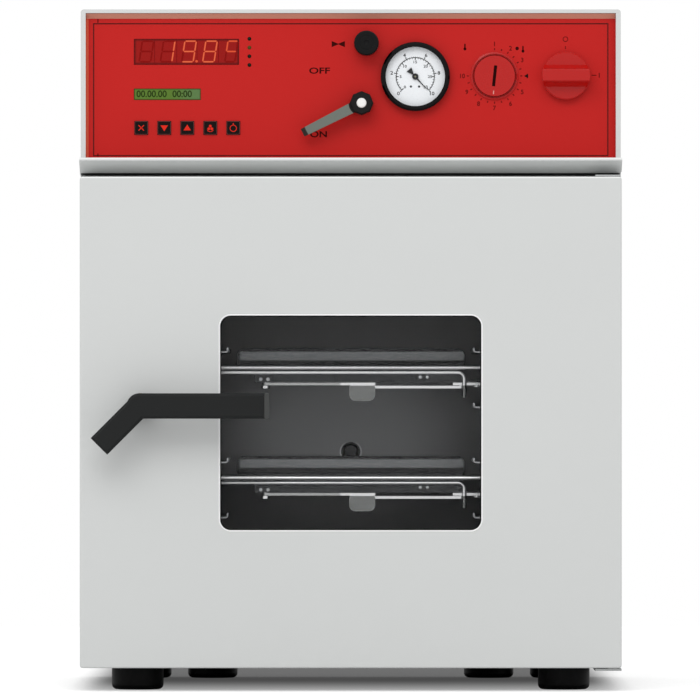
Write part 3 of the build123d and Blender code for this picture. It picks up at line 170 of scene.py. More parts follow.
# Plain finishes: slot, colour, roughness, metallic, and further settings of surface().
FINISHES = (
    ("plate_steel", srgb(176, 178, 178), 0.38, 0.85, {"kind": "brushed"}),
    ("foot_rubber", srgb(12, 12, 13), 0.5, 0.0, {"scale": 700.0, "bump": 0.1, "shine": 0.12}),
    ("key_black", srgb(14, 6, 5), 0.5, 0.0, {"scale": 1500.0, "shine": 0.1}),
    ("board_green", srgb(24, 78, 42), 0.45, 0.0, {"scale": 400.0}),
    ("gauge_black", srgb(7, 7, 8), 0.16, 0.0, {"spread": 0.15, "shine": 0.13}),
    ("pointer_black", srgb(8, 8, 8), 0.5, 0.0, {"scale": 1500.0, "shine": 0.1}),
    ("knob_red", srgb(186, 20, 16), 0.26, 0.0, {"spread": 0.03, "scale": 1300.0, "shine": 0.3}),
    ("valve_brass", srgb(190, 160, 96), 0.3, 0.9, {"kind": "brushed"}),
    ("knob_black", srgb(8, 8, 9), 0.3, 0.0, {"spread": 0.1, "scale": 1300.0, "shine": 0.14}),
    ("switch_block", srgb(60, 62, 64), 0.5, 0.0, {}),
    ("gasket_silicone", srgb(64, 60, 58), 0.6, 0.0, {"scale": 800.0, "bump": 0.1}),
    ("mineral_wool", srgb(196, 188, 150), 0.95, 0.0, {"spread": 0.2, "scale": 260.0, "bump": 0.6}),
    ("heater_foil", srgb(170, 120, 84), 0.5, 0.0, {"scale": 300.0, "bump": 0.15}),
    ("inlet_black", srgb(22, 22, 23), 0.45, 0.0, {}),
)


# ---------------------------------------------------------------- settings
def colour_prop(name, description, rgb):
    return bpy.props.FloatVectorProperty(name=name, description=description, subtype="COLOR",
                                         size=3, min=0.0, max=1.0, default=srgb(*rgb))


def length_prop(name, description, millimetres):
    return bpy.props.FloatProperty(name=name, description=description, subtype="DISTANCE",
                                   unit="LENGTH", min=0.0, precision=5, default=millimetres * MM)


def number_prop(name, description, value):
    return bpy.props.FloatProperty(name=name, description=description, min=0.0, default=value)


class OvenColours(bpy.types.PropertyGroup):
    paint: colour_prop("Paint", "Light grey powder coat of the casing and the door", (214, 216, 215))
    panel: colour_prop("Panel", "Red coat of the control panel", (196, 24, 20))
    ink: colour_prop("Ink", "Dark red-brown ink of the panel's words and scales", (58, 6, 4))
    dial: colour_prop("Dial", "Paper white of the gauge's dial", (248, 251, 255))
    handle: colour_prop("Handle", "Satin black of the door handle", (38, 39, 39))
    lever: colour_prop("Lever", "Grey-green of the vacuum lever", (112, 118, 111))
    led_window: colour_prop("LED window", "Red filter in front of the digits", (152, 18, 14))
    led_lit: colour_prop("LED digits", "Lit segments", (244, 104, 66))
    lcd_window: colour_prop("LCD window", "Green background of the small display", (90, 122, 46))
    key_mark: colour_prop("Key symbols", "Red symbols on the keys", (214, 44, 30))
    glass: colour_prop("Glass", "Tint of the window and the chamber glass", (34, 36, 36))


class OvenSizes(bpy.types.PropertyGroup):
    lift: length_prop("Print lift", "Height of printed marks above their surface", 0.06)
    word_height: length_prop("Word height", "Capital height of the panel's words", 6.0)
    tick_width: length_prop("Tick width", "Width of the scale ticks", 0.9)
    number_height: length_prop("Number height", "Height of the limiter's numbers", 4.4)
    segment_width: length_prop("Segment width", "Width of a lit segment", 1.5)
    rivet_radius: length_prop("Rivet radius", "Radius of the chamber's rivet heads", 1.9)
    screw_radius: length_prop("Screw radius", "Radius of the rear panel's screw heads", 3.4)


class OvenStage(bpy.types.PropertyGroup):
    ambient: number_prop("Ambient", "Strength of the even light from all round", 0.76)
    key_watts: number_prop("Key light", "Power of the large soft light above the front", 52.0)
    floor_size: length_prop("Floor size", "Side of the pale floor", 5000.0)


def colours():
    return bpy.context.scene.oven_colours


def sizes():
    return bpy.context.scene.oven_sizes


def mm(value):
    """A length property in millimetres."""
    return value / MM


# ---------------------------------------------------------------- flat marks
def fan(outline):
    """Filled convex outline: triangles from its middle to each side of a closed ring of points."""
    count = len(outline)
    middle = outline.mean(axis=0, keepdims=True)
    first = np.arange(count)
    triangles = np.stack([np.full(count, count), first, (first + 1) % count], axis=1)
    return np.vstack([outline, middle]), triangles


def strip(right, left, closed=False):
    """Ribbon between two lines of equal length, two triangles to each step along them."""
    count = len(right)
    first = np.arange(count if closed else count - 1)
    after = (first + 1) % count
    lower = np.stack([first, after, after + count], axis=1)
    upper = np.stack([first, after + count, first + count], axis=1)
    return np.vstack([right, left]), np.vstack([lower, upper])


def stroke(path, width):
    """Line of even width: each point of the path moves half the width to either side of it."""
    path = np.asarray(path, float)
    step = np.gradient(path, axis=0)
    step /= np.linalg.norm(step, axis=1, keepdims=True)
    side = np.stack([-step[:, 1], step[:, 0]], axis=1) * width / 2
    return strip(path - side, path + side)


def heading(degrees):
    """Unit step in a direction of the front view, counter-clockwise from the right."""
    return np.array([math.cos(math.radians(degrees)), math.sin(math.radians(degrees))])


def arc(centre, radius, start, end, count):
    """Points on a circle from one angle to the other, in degrees counter-clockwise from the right."""
    angle = np.radians(np.linspace(start, end, count))
    return np.stack([centre[0] + radius * np.cos(angle), centre[1] + radius * np.sin(angle)], axis=1)


def rounded_outline(centre, width, height, radius, count):
    """Outline of an upright rectangle with round corners, counter-clockwise."""
    corners = []
    for quarter, (sx, sz) in enumerate(((1, 1), (-1, 1), (-1, -1), (1, -1))):
        middle = (centre[0] + sx * (width / 2 - radius), centre[1] + sz * (height / 2 - radius))
        corners.append(arc(middle, radius, quarter * 90, quarter * 90 + 90, count))
    return np.vstack(corners)


def ring(centre, inner, outer, count):
    """Flat ring between two circles."""
    angle = np.arange(count) * FULL_TURN / count
    unit = np.stack([np.cos(angle), np.sin(angle)], axis=1)
    return strip(centre + unit * outer, centre + unit * inner, closed=True)


def disc(centre, radius, count=32):
    """Filled circle."""
    angle = np.arange(count) * FULL_TURN / count
    return fan(np.stack([centre[0] + radius * np.cos(angle), centre[1] + radius * np.sin(angle)], axis=1))


def polygon(*points):
    return fan(np.array(points, float))


def turned_marks(marks, centre, degrees):
    """The same marks turned counter-clockwise round a centre."""
    along, up = heading(degrees)
    points, triangles = marks
    return (points - centre) @ np.array([[along, up], [-up, along]]) + centre, triangles


def ticks(centre, inner, outer, angles, width):
    """Straight ticks that point to a centre, one for each angle."""
    made = []
    for angle in angles:
        path = np.array([[centre[0] + inner, centre[1]], [centre[0] + outer, centre[1]]])
        made.append(turned_marks(stroke(path, width), np.array(centre), angle))
    return made


def letters(text, place, height, stretch):
    """Outline letters centred on a place: the font's flat mesh scaled to a capital height."""
    curve = bpy.data.curves.new("letters", "FONT")
    curve.body = text
    curve.offset = BOLD
    curve.resolution_u = 4
    holder = bpy.data.objects.new("letters", curve)
    bpy.context.scene.collection.objects.link(holder)
    bpy.context.view_layer.update()
    mesh = bpy.data.meshes.new_from_object(holder.evaluated_get(bpy.context.evaluated_depsgraph_get()))
    mesh.calc_loop_triangles()
    points = np.empty(len(mesh.vertices) * 3)
    mesh.vertices.foreach_get("co", points)
    triangles = np.empty(len(mesh.loop_triangles) * 3, np.int32)
    mesh.loop_triangles.foreach_get("vertices", triangles)
    bpy.data.objects.remove(holder)
    bpy.data.curves.remove(curve)
    bpy.data.meshes.remove(mesh)
    points = points.reshape(-1, 3)[:, :2]
    triangles = triangles.reshape(-1, 3)
    if not len(triangles):
        raise RuntimeError(f"the letters {text!r} came out empty")
    low = points.min(axis=0)
    high = points.max(axis=0)
    scale = height / (high[1] - low[1])
    points = (points - (low + high) / 2) * (scale * stretch, scale)
    return points + place, triangles


def joined(parts):
    """One set of points and triangles from many."""
    starts = np.cumsum([0] + [len(points) for points, _ in parts[:-1]])
    points = np.vstack([points for points, _ in parts])
    triangles = np.vstack([faces + start for (_, faces), start in zip(parts, starts)])
    return points, triangles


def make_mesh(name, points, triangles, material, body, smooth=False):
    """New object from points in millimetres and triangles, riding on a body."""
    mesh = bpy.data.meshes.new(name)
    mesh.vertices.add(len(points))
    mesh.vertices.foreach_set("co", (np.asarray(points) * MM).astype(np.float32).ravel())
    mesh.loops.add(triangles.size)
    mesh.loops.foreach_set("vertex_index", triangles.astype(np.int32).ravel())
    mesh.polygons.add(len(triangles))
    mesh.polygons.foreach_set("loop_start", (np.arange(len(triangles)) * 3).astype(np.int32))
    mesh.update(calc_edges=True)
    mesh.validate()
    mesh.polygons.foreach_set("use_smooth", np.full(len(mesh.polygons), smooth))
    mesh.materials.append(material)
    piece = bpy.data.objects.new(name, mesh)
    bpy.context.scene.collection.objects.link(piece)
    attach(piece, body)
    return piece


def print_marks(name, parts, y, material, body="root"):
    """Flat marks facing the front, at one depth."""
    flat, triangles = joined(parts)
    points = np.stack([flat[:, 0], np.full(len(flat), y), flat[:, 1]], axis=1)
    return make_mesh(name, points, triangles, material, body)


def front_of(node):
    """Front plane of a node in millimetres."""
    return mm(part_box(node)[0].y)


def above(node, layers=1.0):
    """Depth of a print that lies some layers of ink in front of a node."""
    return front_of(node) - mm(sizes().lift) * layers


def grid_faces(rows, count, closed):
    """Triangles of a grid of points whose columns close up, and whose rows may."""
    row, column = np.meshgrid(np.arange(rows if closed else rows - 1), np.arange(count), indexing="ij")
    here = row * count + column
    side = row * count + (column + 1) % count
    below = ((row + 1) % rows) * count + column
    corner = ((row + 1) % rows) * count + (column + 1) % count
    lower = np.stack([here, side, corner], axis=-1).reshape(-1, 3)
    upper = np.stack([here, corner, below], axis=-1).reshape(-1, 3)
    return np.vstack([lower, upper])


# ---------------------------------------------------------------- turned pieces
def revolve(profile, count, lobes):
    """Surface of revolution round its own axis: each profile point (radius, height) is carried round.
    Lobes is an optional (rows, amount) that pulls the first rows towards a hexagon."""
    profile = np.asarray(profile, float)
    angle = np.arange(count) * FULL_TURN / count
    radius = np.repeat(profile[1:-1, :1], count, axis=1)
    if lobes:
        rows, amount = lobes
        sixth = FULL_TURN / 6
        flat = math.cos(sixth / 2) / np.cos((angle % sixth) - sixth / 2)
        radius[:rows] *= 1 + amount * (flat - 1)
    height = np.repeat(profile[1:-1, 1:], count, axis=1)
    body = np.stack([radius * np.cos(angle), radius * np.sin(angle), height], axis=2).reshape(-1, 3)
    top = np.array([[0.0, 0.0, profile[0, 1]]])
    end = np.array([[0.0, 0.0, profile[-1, 1]]])
    points = np.vstack([top, body, end])
    first = np.arange(count)
    after = (first + 1) % count
    rows = len(profile) - 2
    last = 1 + (rows - 1) * count
    cap = np.stack([np.zeros(count, int), first + 1, after + 1], axis=1)
    side = grid_faces(rows, count, closed=False)[:, ::-1] + 1
    close = np.stack([last + first, np.full(count, len(points) - 1), last + after], axis=1)
    return points, np.vstack([cap, side, close])


def facing(points, place, direction):
    """Points of a turned piece set with its own axis along a direction, at a place."""
    turn = Vector((0.0, 0.0, 1.0)).rotation_difference(Vector(direction)).to_matrix()
    return points @ np.array(turn).T + np.array(place)


def screw_profile(radius):
    """Socket screw: hexagonal recess, flat rim and rounded side, from the middle outwards."""
    deep = radius * 0.45
    return [(0, deep * 0.3), (radius * 0.42, deep * 0.3), (radius * 0.46, deep * 0.95),
            (radius * 0.55, deep), (radius * 0.8, deep * 0.9), (radius * 0.95, deep * 0.55),
            (radius, 0.05), (0, 0.05)]


def dome_profile(radius, height):
    """Rivet head: part of a ball with a thin straight foot."""
    angle = np.radians(np.array([0, 20, 40, 60, 75, 90]))
    rows = [(0.0, height)]
    rows += [(radius * math.sin(a), height * math.cos(a) + 0.08) for a in angle[1:]]
    rows += [(radius, 0.0), (0.0, 0.0)]
    return rows


def place_many(name, profile, places, direction, material, slot, count=20, lobes=None):
    """Copies of one turned piece on the casing or in the chamber, joined as one object."""
    points, triangles = revolve(profile, count, lobes)
    merged, faces = joined([(facing(points, place, direction), triangles) for place in places])
    return make_mesh(name, merged, faces, material, "root", smooth=True)


# ---------------------------------------------------------------- materials
def new_group(name, inputs, outputs):
    """Shared shader node group with named sockets."""
    tree = bpy.data.node_groups.new(name, "ShaderNodeTree")
    for label, value in inputs:
        socket = tree.interface.new_socket(name=label, in_out="INPUT", socket_type="NodeSocketFloat")
        socket.default_value = value
    for label in outputs:
        tree.interface.new_socket(name=label, in_out="OUTPUT", socket_type="NodeSocketFloat")
    source = tree.nodes.new("NodeGroupInput")
    target = tree.nodes.new("NodeGroupOutput")
    return tree, source, target


def math_node(tree, operation, first, second=None):
    """Math node whose inputs are sockets or numbers."""
    node = tree.nodes.new("ShaderNodeMath")
    node.operation = operation
    for socket, value in zip(node.inputs, (first, second)):
        if isinstance(value, (int, float)):
            socket.default_value = value
        elif value is not None:
            tree.links.new(value, socket)
    return node.outputs[0]


def noise(tree, vector, detail):
    """Noise texture read at a vector."""
    node = tree.nodes.new("ShaderNodeTexNoise")
    node.inputs["Detail"].default_value = detail
    tree.links.new(vector, node.inputs["Vector"])
    return node


def tone_and_height(tree, target, fine, cloud, share):
    """Tone is a share of the fine noise plus the rest of the cloud; height is the fine noise."""
    tone = math_node(tree, "ADD", math_node(tree, "MULTIPLY", fine.outputs["Fac"], share),
                     math_node(tree, "MULTIPLY", cloud.outputs["Fac"], 1 - share))
    tree.links.new(tone, target.inputs["Tone"])
    tree.links.new(fine.outputs["Fac"], target.inputs["Height"])
    return tree


def grain_group():
    """Orange-peel grain of a coat with a faint large cloud, from Object coordinates."""
    tree, source, target = new_group("oven_grain", [("Scale", 900.0), ("Cloud", 9.0)], ["Tone", "Height"])
    place = tree.nodes.new("ShaderNodeTexCoord").outputs["Object"]
    fine = noise(tree, place, 2.0)
    cloud = noise(tree, place, 3.0)
    tree.links.new(source.outputs["Scale"], fine.inputs["Scale"])
    tree.links.new(source.outputs["Cloud"], cloud.inputs["Scale"])
    return tone_and_height(tree, target, fine, cloud, 0.35)


def brushed_group():
    """Fine lines along X of rolled sheet, from Object coordinates stretched across the rolling."""
    tree, source, target = new_group("oven_brushed", [("Scale", 60.0), ("Stretch", 28.0)], ["Tone", "Height"])
    place = tree.nodes.new("ShaderNodeTexCoord").outputs["Object"]
    parts = tree.nodes.new("ShaderNodeSeparateXYZ")
    whole = tree.nodes.new("ShaderNodeCombineXYZ")
    tree.links.new(place, parts.inputs[0])
    tree.links.new(parts.outputs["X"], whole.inputs["X"])
    for axis in ("Y", "Z"):
        tree.links.new(math_node(tree, "MULTIPLY", parts.outputs[axis], source.outputs["Stretch"]),
                       whole.inputs[axis])
    lines = noise(tree, whole.outputs[0], 4.0)
    cloud = noise(tree, place, 2.0)
    cloud.inputs["Scale"].default_value = 14.0
    tree.links.new(source.outputs["Scale"], lines.inputs["Scale"])
    return tone_and_height(tree, target, lines, cloud, 0.6)


GROUPS = {}


def group(kind):
    """The shared group of that kind, made once."""
    if kind not in GROUPS:
        GROUPS[kind] = {"grain": grain_group, "brushed": brushed_group}[kind]()
    return GROUPS[kind]


def surface(name, colour, roughness, metallic=0.0, kind="grain", scale=900.0, spread=0.05,
            bump=0.05, wander=0.06, shine=0.5):
    """Material with a Principled shader: the group's tone moves the colour and the roughness a
    little, and its height gives a fine bump."""
    material = bpy.data.materials.new(name)
    material.use_nodes = True
    tree = material.node_tree
    shader = tree.nodes["Principled BSDF"]
    texture = tree.nodes.new("ShaderNodeGroup")
    texture.node_tree = group(kind)
    texture.inputs["Scale"].default_value = scale
    mix = tree.nodes.new("ShaderNodeMix")
    mix.data_type = "RGBA"
    dark = tuple(max(0.0, c * (1 - spread)) for c in colour)
    light = tuple(min(1.0, c * (1 + spread)) for c in colour)
    mix.inputs["A"].default_value = (*dark, 1.0)
    mix.inputs["B"].default_value = (*light, 1.0)
    tree.links.new(texture.outputs["Tone"], mix.inputs["Factor"])
    tree.links.new(mix.outputs["Result"], shader.inputs["Base Color"])
    rough = tree.nodes.new("ShaderNodeMapRange")
    rough.inputs["To Min"].default_value = max(0.02, roughness - wander)
    rough.inputs["To Max"].default_value = min(1.0, roughness + wander)
    tree.links.new(texture.outputs["Tone"], rough.inputs["Value"])
    tree.links.new(rough.outputs["Result"], shader.inputs["Roughness"])
    relief = tree.nodes.new("ShaderNodeBump")
    relief.inputs["Strength"].default_value = bump
    relief.inputs["Distance"].default_value = 0.0004
    tree.links.new(texture.outputs["Height"], relief.inputs["Height"])
    tree.links.new(relief.outputs["Normal"], shader.inputs["Normal"])
    shader.inputs["Metallic"].default_value = metallic
    shader.inputs["Specular IOR Level"].default_value = shine
    material.diffuse_color = (*colour, 1.0)
    return material


def emission(material, colour, strength):
    """Adds a glow of one colour."""
    shader = material.node_tree.nodes["Principled BSDF"]
    shader.inputs["Emission Color"].default_value = (*colour, 1.0)
    shader.inputs["Emission Strength"].default_value = strength
    return material


def coordinates(tree):
    """X, Y and Z sockets of the piece's own place, in metres."""
    place = tree.nodes.new("ShaderNodeTexCoord")
    parts = tree.nodes.new("ShaderNodeSeparateXYZ")
    tree.links.new(place.outputs["Object"], parts.inputs[0])
    return parts.outputs


def smooth_ramp(tree, value, start, end):
    """Socket that climbs smoothly from 0 to 1 as a length goes from start to end, in millimetres."""
    ramp = tree.nodes.new("ShaderNodeMapRange")
    ramp.interpolation_type = "SMOOTHSTEP"
    ramp.inputs["From Min"].default_value = start * MM
    ramp.inputs["From Max"].default_value = end * MM
    tree.links.new(value, ramp.inputs["Value"])
    return ramp.outputs["Result"]


def product(tree, masks):
    """Product of masks, each a socket or the (axis, start, end) of a ramp."""
    value = None
    for mask in masks:
        if isinstance(mask, tuple):
            axis, start, end = mask
            mask = smooth_ramp(tree, coordinates(tree)[axis], start, end)
        value = mask if value is None else math_node(tree, "MULTIPLY", value, mask)
    return value


def round_mask(tree, centre, radius, soft, stretch=1.0):
    """Socket that is 1 within a radius of a point of the front view and falls to 0 beyond it.
    Heights count for more by the stretch."""
    place = coordinates(tree)
    across = math_node(tree, "SUBTRACT", place["X"], centre[0] * MM)
    upward = math_node(tree, "SUBTRACT", place["Z"], centre[1] * MM)
    upward = math_node(tree, "MULTIPLY", upward, stretch)
    square = math_node(tree, "ADD", math_node(tree, "MULTIPLY", across, across),
                       math_node(tree, "MULTIPLY", upward, upward))
    return smooth_ramp(tree, math_node(tree, "SQRT", square), radius + soft, radius)


def box_ramps(box, margin, upright="Z"):
    """Ramps whose product is 1 inside a rectangle and falls to 0 over a margin at its sides."""
    left, right, low, high = box
    return [("X", left, left + margin), ("X", right, right - margin),
            (upright, low, low + margin), (upright, high, high - margin)]


def levels_mask(tree, low, high, soft):
    """Socket that is 1 between two heights over either shelf level and 0 beyond them."""
    bands = [product(tree, [("Z", level + low - soft, level + low), ("Z", level + high + soft, level + high)])
             for level in CHANNEL_LEVELS]
    return math_node(tree, "MAXIMUM", *bands)


def overlay(material, tint, *masks, under=False):
    """Mixes a named tint over a material where all its masks are 1, or everywhere but there."""
    tree = material.node_tree
    shader = tree.nodes["Principled BSDF"]
    mix = tree.nodes.new("ShaderNodeMix")
    mix.data_type = "RGBA"
    new, old = ("A", "B") if under else ("B", "A")
    mix.inputs[new].default_value = (*TINTS[tint], 1.0)
    tree.links.new(shader.inputs["Base Color"].links[0].from_socket, mix.inputs[old])
    tree.links.new(product(tree, masks), mix.inputs["Factor"])
    tree.links.new(mix.outputs["Result"], shader.inputs["Base Color"])
    return material


def led_window_material():
    """Red filter, with painted shade of the recess towards the opening's four sides."""
    material = surface("led_window", tuple(colours().led_window), 0.3, spread=0.1, scale=60.0, bump=0.0,
                       shine=0.12)
    # Painted shade of the recess, darkening the filter towards the opening's sides.
    return overlay(material, "led_recess_shade", *box_ramps(LED_BOX, 3.0), under=True)


def lcd_window_material():
    """Green background, bluer to the right, with painted shade of the recess towards the opening's sides."""
    material = surface("lcd_window", tuple(colours().lcd_window), 0.35, spread=0.08, scale=50.0, bump=0.0,
                       shine=0.12)
    overlay(material, "lcd_right", LCD_RIGHT)
    # Painted shade of the recess, darkening the green towards the opening's sides.
    return overlay(material, "lcd_recess_shade", *box_ramps(LCD_BOX, 1.4), under=True)


def lamp_material():
    """Near-black green lenses; the second one down is olive, by its height on the panel."""
    material = surface("lamp_lens", srgb(14, 22, 10), 0.3, shine=0.1)
    return overlay(material, "olive_lamp", *box_ramps(OLIVE_LAMP_BOX, 0.3))


def paint_material():
    """Grey coat, with painted shade in the narrow gap under the nose and painted highlights along two front
    edges.
    """
    material = surface("grey_paint", tuple(colours().paint), 0.42, spread=0.02, scale=1400.0, bump=0.06)
    # Painted shade: the grey coat turns near-black in the gap between the nose and the door.
    overlay(material, "nose_gap_shade", *NOSE_GAP_SHADE)
    for low, high in LIT_EDGES:
        overlay(material, "lit_edge", ("Z", low - EDGE_SOFT, low), ("Z", high + EDGE_SOFT, high), DOOR_FACE)
    return material


def panel_material():
    """Red coat with a painted reflection on the sloped lip on top, painted shade in the groove and along the
    foot, and a painted highlight on the left edge.
    """
    material = surface("panel_red", tuple(colours().panel), 0.5, spread=0.03, scale=1500.0, shine=0.2)
    # Painted shade in the groove and along the foot, a painted highlight on the left edge, and a painted
    # reflection on the sloped lip.
    overlay(material, "panel_groove_shade", PANEL_GROOVE_SHADE)
    overlay(material, "panel_left_highlight", PANEL_LEFT_HIGHLIGHT)
    overlay(material, "panel_foot_shade", PANEL_FOOT_SHADE)
    return overlay(material, "panel_lip_reflection", PANEL_LIP_REFLECTION)


def lever_material():
    """Grey lever with a darker tip, black hub and white cap, by the distance from the hub's axis."""
    material = surface("lever_grey", tuple(colours().lever), 0.42, spread=0.1, scale=1300.0, shine=0.18)
    tree = material.node_tree
    overlay(material, "lever_tip", round_mask(tree, LEVER_HUB, LEVER_TIP_R, 0.6), under=True)
    overlay(material, "lever_hub", round_mask(tree, LEVER_HUB, LEVER_HUB_R, 0.4))
    return overlay(material, "lever_cap", round_mask(tree, LEVER_HUB, LEVER_CAP_R, 0.25))


def chamber_material():
    """Ground steel: the rear wall has a painted pool of light in its middle and painted shade towards its
    corners and top; the port has a painted highlight on its ring and painted shade in its bore.
    """
    material = surface("chamber_steel", srgb(176, 177, 178), 0.42, 0.45, "brushed", bump=0.05)
    tree = material.node_tree
    # Painted light: a pool of light in the middle of the rear wall, with painted shade towards its corners
    # and over its top.
    middle = round_mask(tree, WALL_LIGHT, WALL_LIGHT_R, WALL_LIGHT_SOFT, WALL_LIGHT_STRETCH)
    overlay(material, "wall_corner_shade", middle, under=True)
    overlay(material, "wall_top_shade", REAR_WALL, WALL_TOP_SHADE)
    overlay(material, "flange", FLANGE)
    # Painted highlight on the port's ring, fading towards its top, and painted shade in its bore.
    overlay(material, "port_ring_highlight", round_mask(tree, PORT, PORT_RING_R, 0.2), PORT_FACE, PORT_SIDES)
    return overlay(material, "port_bore_shade", round_mask(tree, PORT, PORT_BORE_R, 0.2), PORT_INSIDE)


def pipe_material():
    """Drawn steel pipe, with painted shade where it ends inside the chamber's port."""
    material = surface("pipe_steel", srgb(190, 192, 194), 0.28, 0.9, "brushed")
    # Painted shade where the pipe ends inside the port.
    return overlay(material, "pipe_end_shade", round_mask(material.node_tree, PORT, PIPE_R, 0.1), PIPE_END_SHADE)


def shelf_material():
    """Bright rolled front hem, darker tray, and an upstand in painted shade but for a painted lit band in its
    middle.
    """
    material = surface("shelf_alu", srgb(248, 249, 250), 0.22, 0.9, "brushed", bump=0.01, spread=0.02,
                       wander=0.01)
    tree = material.node_tree
    overlay(material, "tray", SHELF_TRAY)
    # Painted shade over the upstand, and a painted lit band across its middle.
    overlay(material, "upstand", SHELF_UPSTAND, levels_mask(tree, *UPSTAND_SHADE_BAND))
    return overlay(material, "upstand_lit_band", SHELF_UPSTAND, levels_mask(tree, *LIGHT_BAND),
                   *box_ramps(SHELF_BAND, 2.0, "Y"))


def clamp_material():
    """Polished wire and links, painted shade on the channel behind the wire, the darker tab and the pad's
    dark jaw.
    """
    material = surface("clamp_steel", srgb(244, 245, 246), 0.2, 0.9, "brushed", bump=0.03)
    tree = material.node_tree
    # Painted shade on the channel behind the wire.
    overlay(material, "channel", BEHIND_WIRE, levels_mask(tree, *CHANNEL_SHADE_BAND))
    overlay(material, "tab", TAB_FACE, levels_mask(tree, *TAB_BAND))
    overlay(material, "jaw", JAW_SIDE, levels_mask(tree, *JAW_BAND))
    return overlay(material, "left_link", LEFT_LINK, levels_mask(tree, *LINK_BAND))


def handle_material():
    """Black grip with a painted highlight on its end over the window."""
    material = surface("handle_black", tuple(colours().handle), 0.55, spread=0.1, scale=1500.0, bump=0.1,
                       shine=0.08)
    # Painted highlight on the grip's end over the window.
    return overlay(material, "handle_end_highlight", HANDLE_END_HIGHLIGHT)


def glass_material(name, colour, alpha, roughness):
    """Tinted glass: partly covering, so that the light still reaches the chamber."""
    material = surface(name, colour, roughness, scale=500.0, bump=0.01, wander=0.01)
    material.node_tree.nodes["Principled BSDF"].inputs["Alpha"].default_value = alpha
    return material


def slot_materials():
    """A finish for each material slot of the record."""
    look = colours()
    made = {slot: surface(slot, colour, roughness, metallic, **more)
            for slot, colour, roughness, metallic, more in FINISHES}
    made.update({
        "grey_paint": paint_material(),
        "chamber_steel": chamber_material(),
        "panel_red": panel_material(),
        "led_window": led_window_material(),
        "lcd_window": lcd_window_material(),
        "lamp_lens": lamp_material(),
        "dial_white": surface("dial_white", tuple(look.dial), 0.6, spread=0.015, scale=1200.0, bump=0.02),
        "clear_lens": glass_material("clear_lens", srgb(240, 243, 246), 0.02, 0.04),
        "lever_grey": lever_material(),
        "shelf_alu": shelf_material(),
        "clamp_steel": clamp_material(),
        "window_glass": glass_material("window_glass", tuple(look.glass), 0.035, 0.05),
        "handle_black": handle_material(),
        "pipe_steel": pipe_material(),
    })
    return made


def ink_material(name, colour, roughness=0.6):
    """Matt ink of a printed mark."""
    return surface(name, colour, roughness, spread=0.06, scale=1800.0, bump=0.02, shine=0.05)


# ---------------------------------------------------------------- readouts
ALL_SEGMENTS = "abcdefg"
# Lit segments of the first four cells: an empty one, then 1, 9 and 8. The last cell has a raised c.
LED_SHOWN = ("", "bc", "abcdfg", "abcdefg")
LED_LAST = "afg"
LED_CELLS = (-195.3, -175.0, -154.6, -134.6)
LED_LAST_X = -114.1
LED_DIVIDERS = (-187.5, -166.4, -147.0, -126.5)
LED_DOT = (-147.4, 600.7)
LED_MIDDLE = 610.1
LED_TALL = 21.2
LED_LEAN = math.tan(math.radians(8.7))
CELL_WIDTH = 12.4
LAST_WIDTH = 11.0
CORE_INSET = 0.55
LCD_WORDS = (("00.00.00", -190.4), ("00:00", -161.2))
LCD_MIDDLE = 569.6
LCD_TALL = 6.6


def segment_bars(width, height, thick, gap):
    """Hexagonal bars of a seven-segment digit, by letter, round its own middle."""
    x = width / 2 - thick / 2
    z = height / 2 - thick / 2
    half = thick / 2
    reach = {"a": ((-x, z), (x, z)), "g": ((-x, 0), (x, 0)), "d": ((-x, -z), (x, -z)),
             "f": ((-x, 0), (-x, z)), "b": ((x, 0), (x, z)), "e": ((-x, -z), (-x, 0)),
             "c": ((x, -z), (x, 0))}
    bars = {}
    for letter, (start, end) in reach.items():
        start = np.array(start, float)
        end = np.array(end, float)
        along = (end - start) / np.linalg.norm(end - start)
        side = np.array([-along[1], along[0]]) * half
        start = start + along * gap
        end = end - along * gap
        bars[letter] = np.array([start, start + along * half - side, end - along * half - side, end,
                                 end - along * half + side, start + along * half + side])
    return bars


def digit(shown, place, width, height, thick, gap=0.25):
    """Segments of one digit, leaning to the right by a share of their height."""
    bars = segment_bars(width, height, thick, gap)
    lean = np.array([[1.0, 0.0], [LED_LEAN, 1.0]])
    return [fan(bars[letter] @ lean + place) for letter in shown]


def build_led():
    """Five-digit readout: ghost segments, lit segments with lighter cores, and the cells' dividers."""
    thick = mm(sizes().segment_width)
    inset = thick * CORE_INSET
    ghosts, lit, cores = [], [], []
    for x, shown in zip(LED_CELLS, LED_SHOWN):
        place = np.array([x, LED_MIDDLE])
        off = [letter for letter in ALL_SEGMENTS if letter not in shown]
        ghosts += digit(off, place, CELL_WIDTH, LED_TALL, thick)
        lit += digit(shown, place, CELL_WIDTH, LED_TALL, thick)
        cores += digit(shown, place, CELL_WIDTH - inset, LED_TALL - inset, thick - inset, 0.6)
    place = np.array([LED_LAST_X, LED_MIDDLE])
    off = [letter for letter in ALL_SEGMENTS if letter not in LED_LAST]
    lit += digit(LED_LAST, place, LAST_WIDTH, LED_TALL, thick)
    ghosts += digit(off, place, LAST_WIDTH, LED_TALL, thick)
    lit.append(disc(LED_DOT, 1.25))
    dividers = [stroke([[x, LED_BOX[2] + 1], [x, LED_BOX[3] - 1]], 0.5) for x in LED_DIVIDERS]
    line = ink_material("led_divider", srgb(120, 10, 12))
    ghost = ink_material("led_ghost", srgb(135, 14, 11))
    glow = emission(ink_material("led_glow", srgb(120, 20, 10)), tuple(colours().led_lit), 0.6)
    core = emission(ink_material("led_core", srgb(120, 40, 20)), srgb(250, 132, 88), 0.6)
    print_marks("led_dividers", dividers, above("led_display"), line)
    print_marks("led_ghosts", ghosts, above("led_display", 1.5), ghost)
    print_marks("led_lit_segments", lit, above("led_display", 2), glow)
    print_marks("led_cores", cores, above("led_display", 3), core)


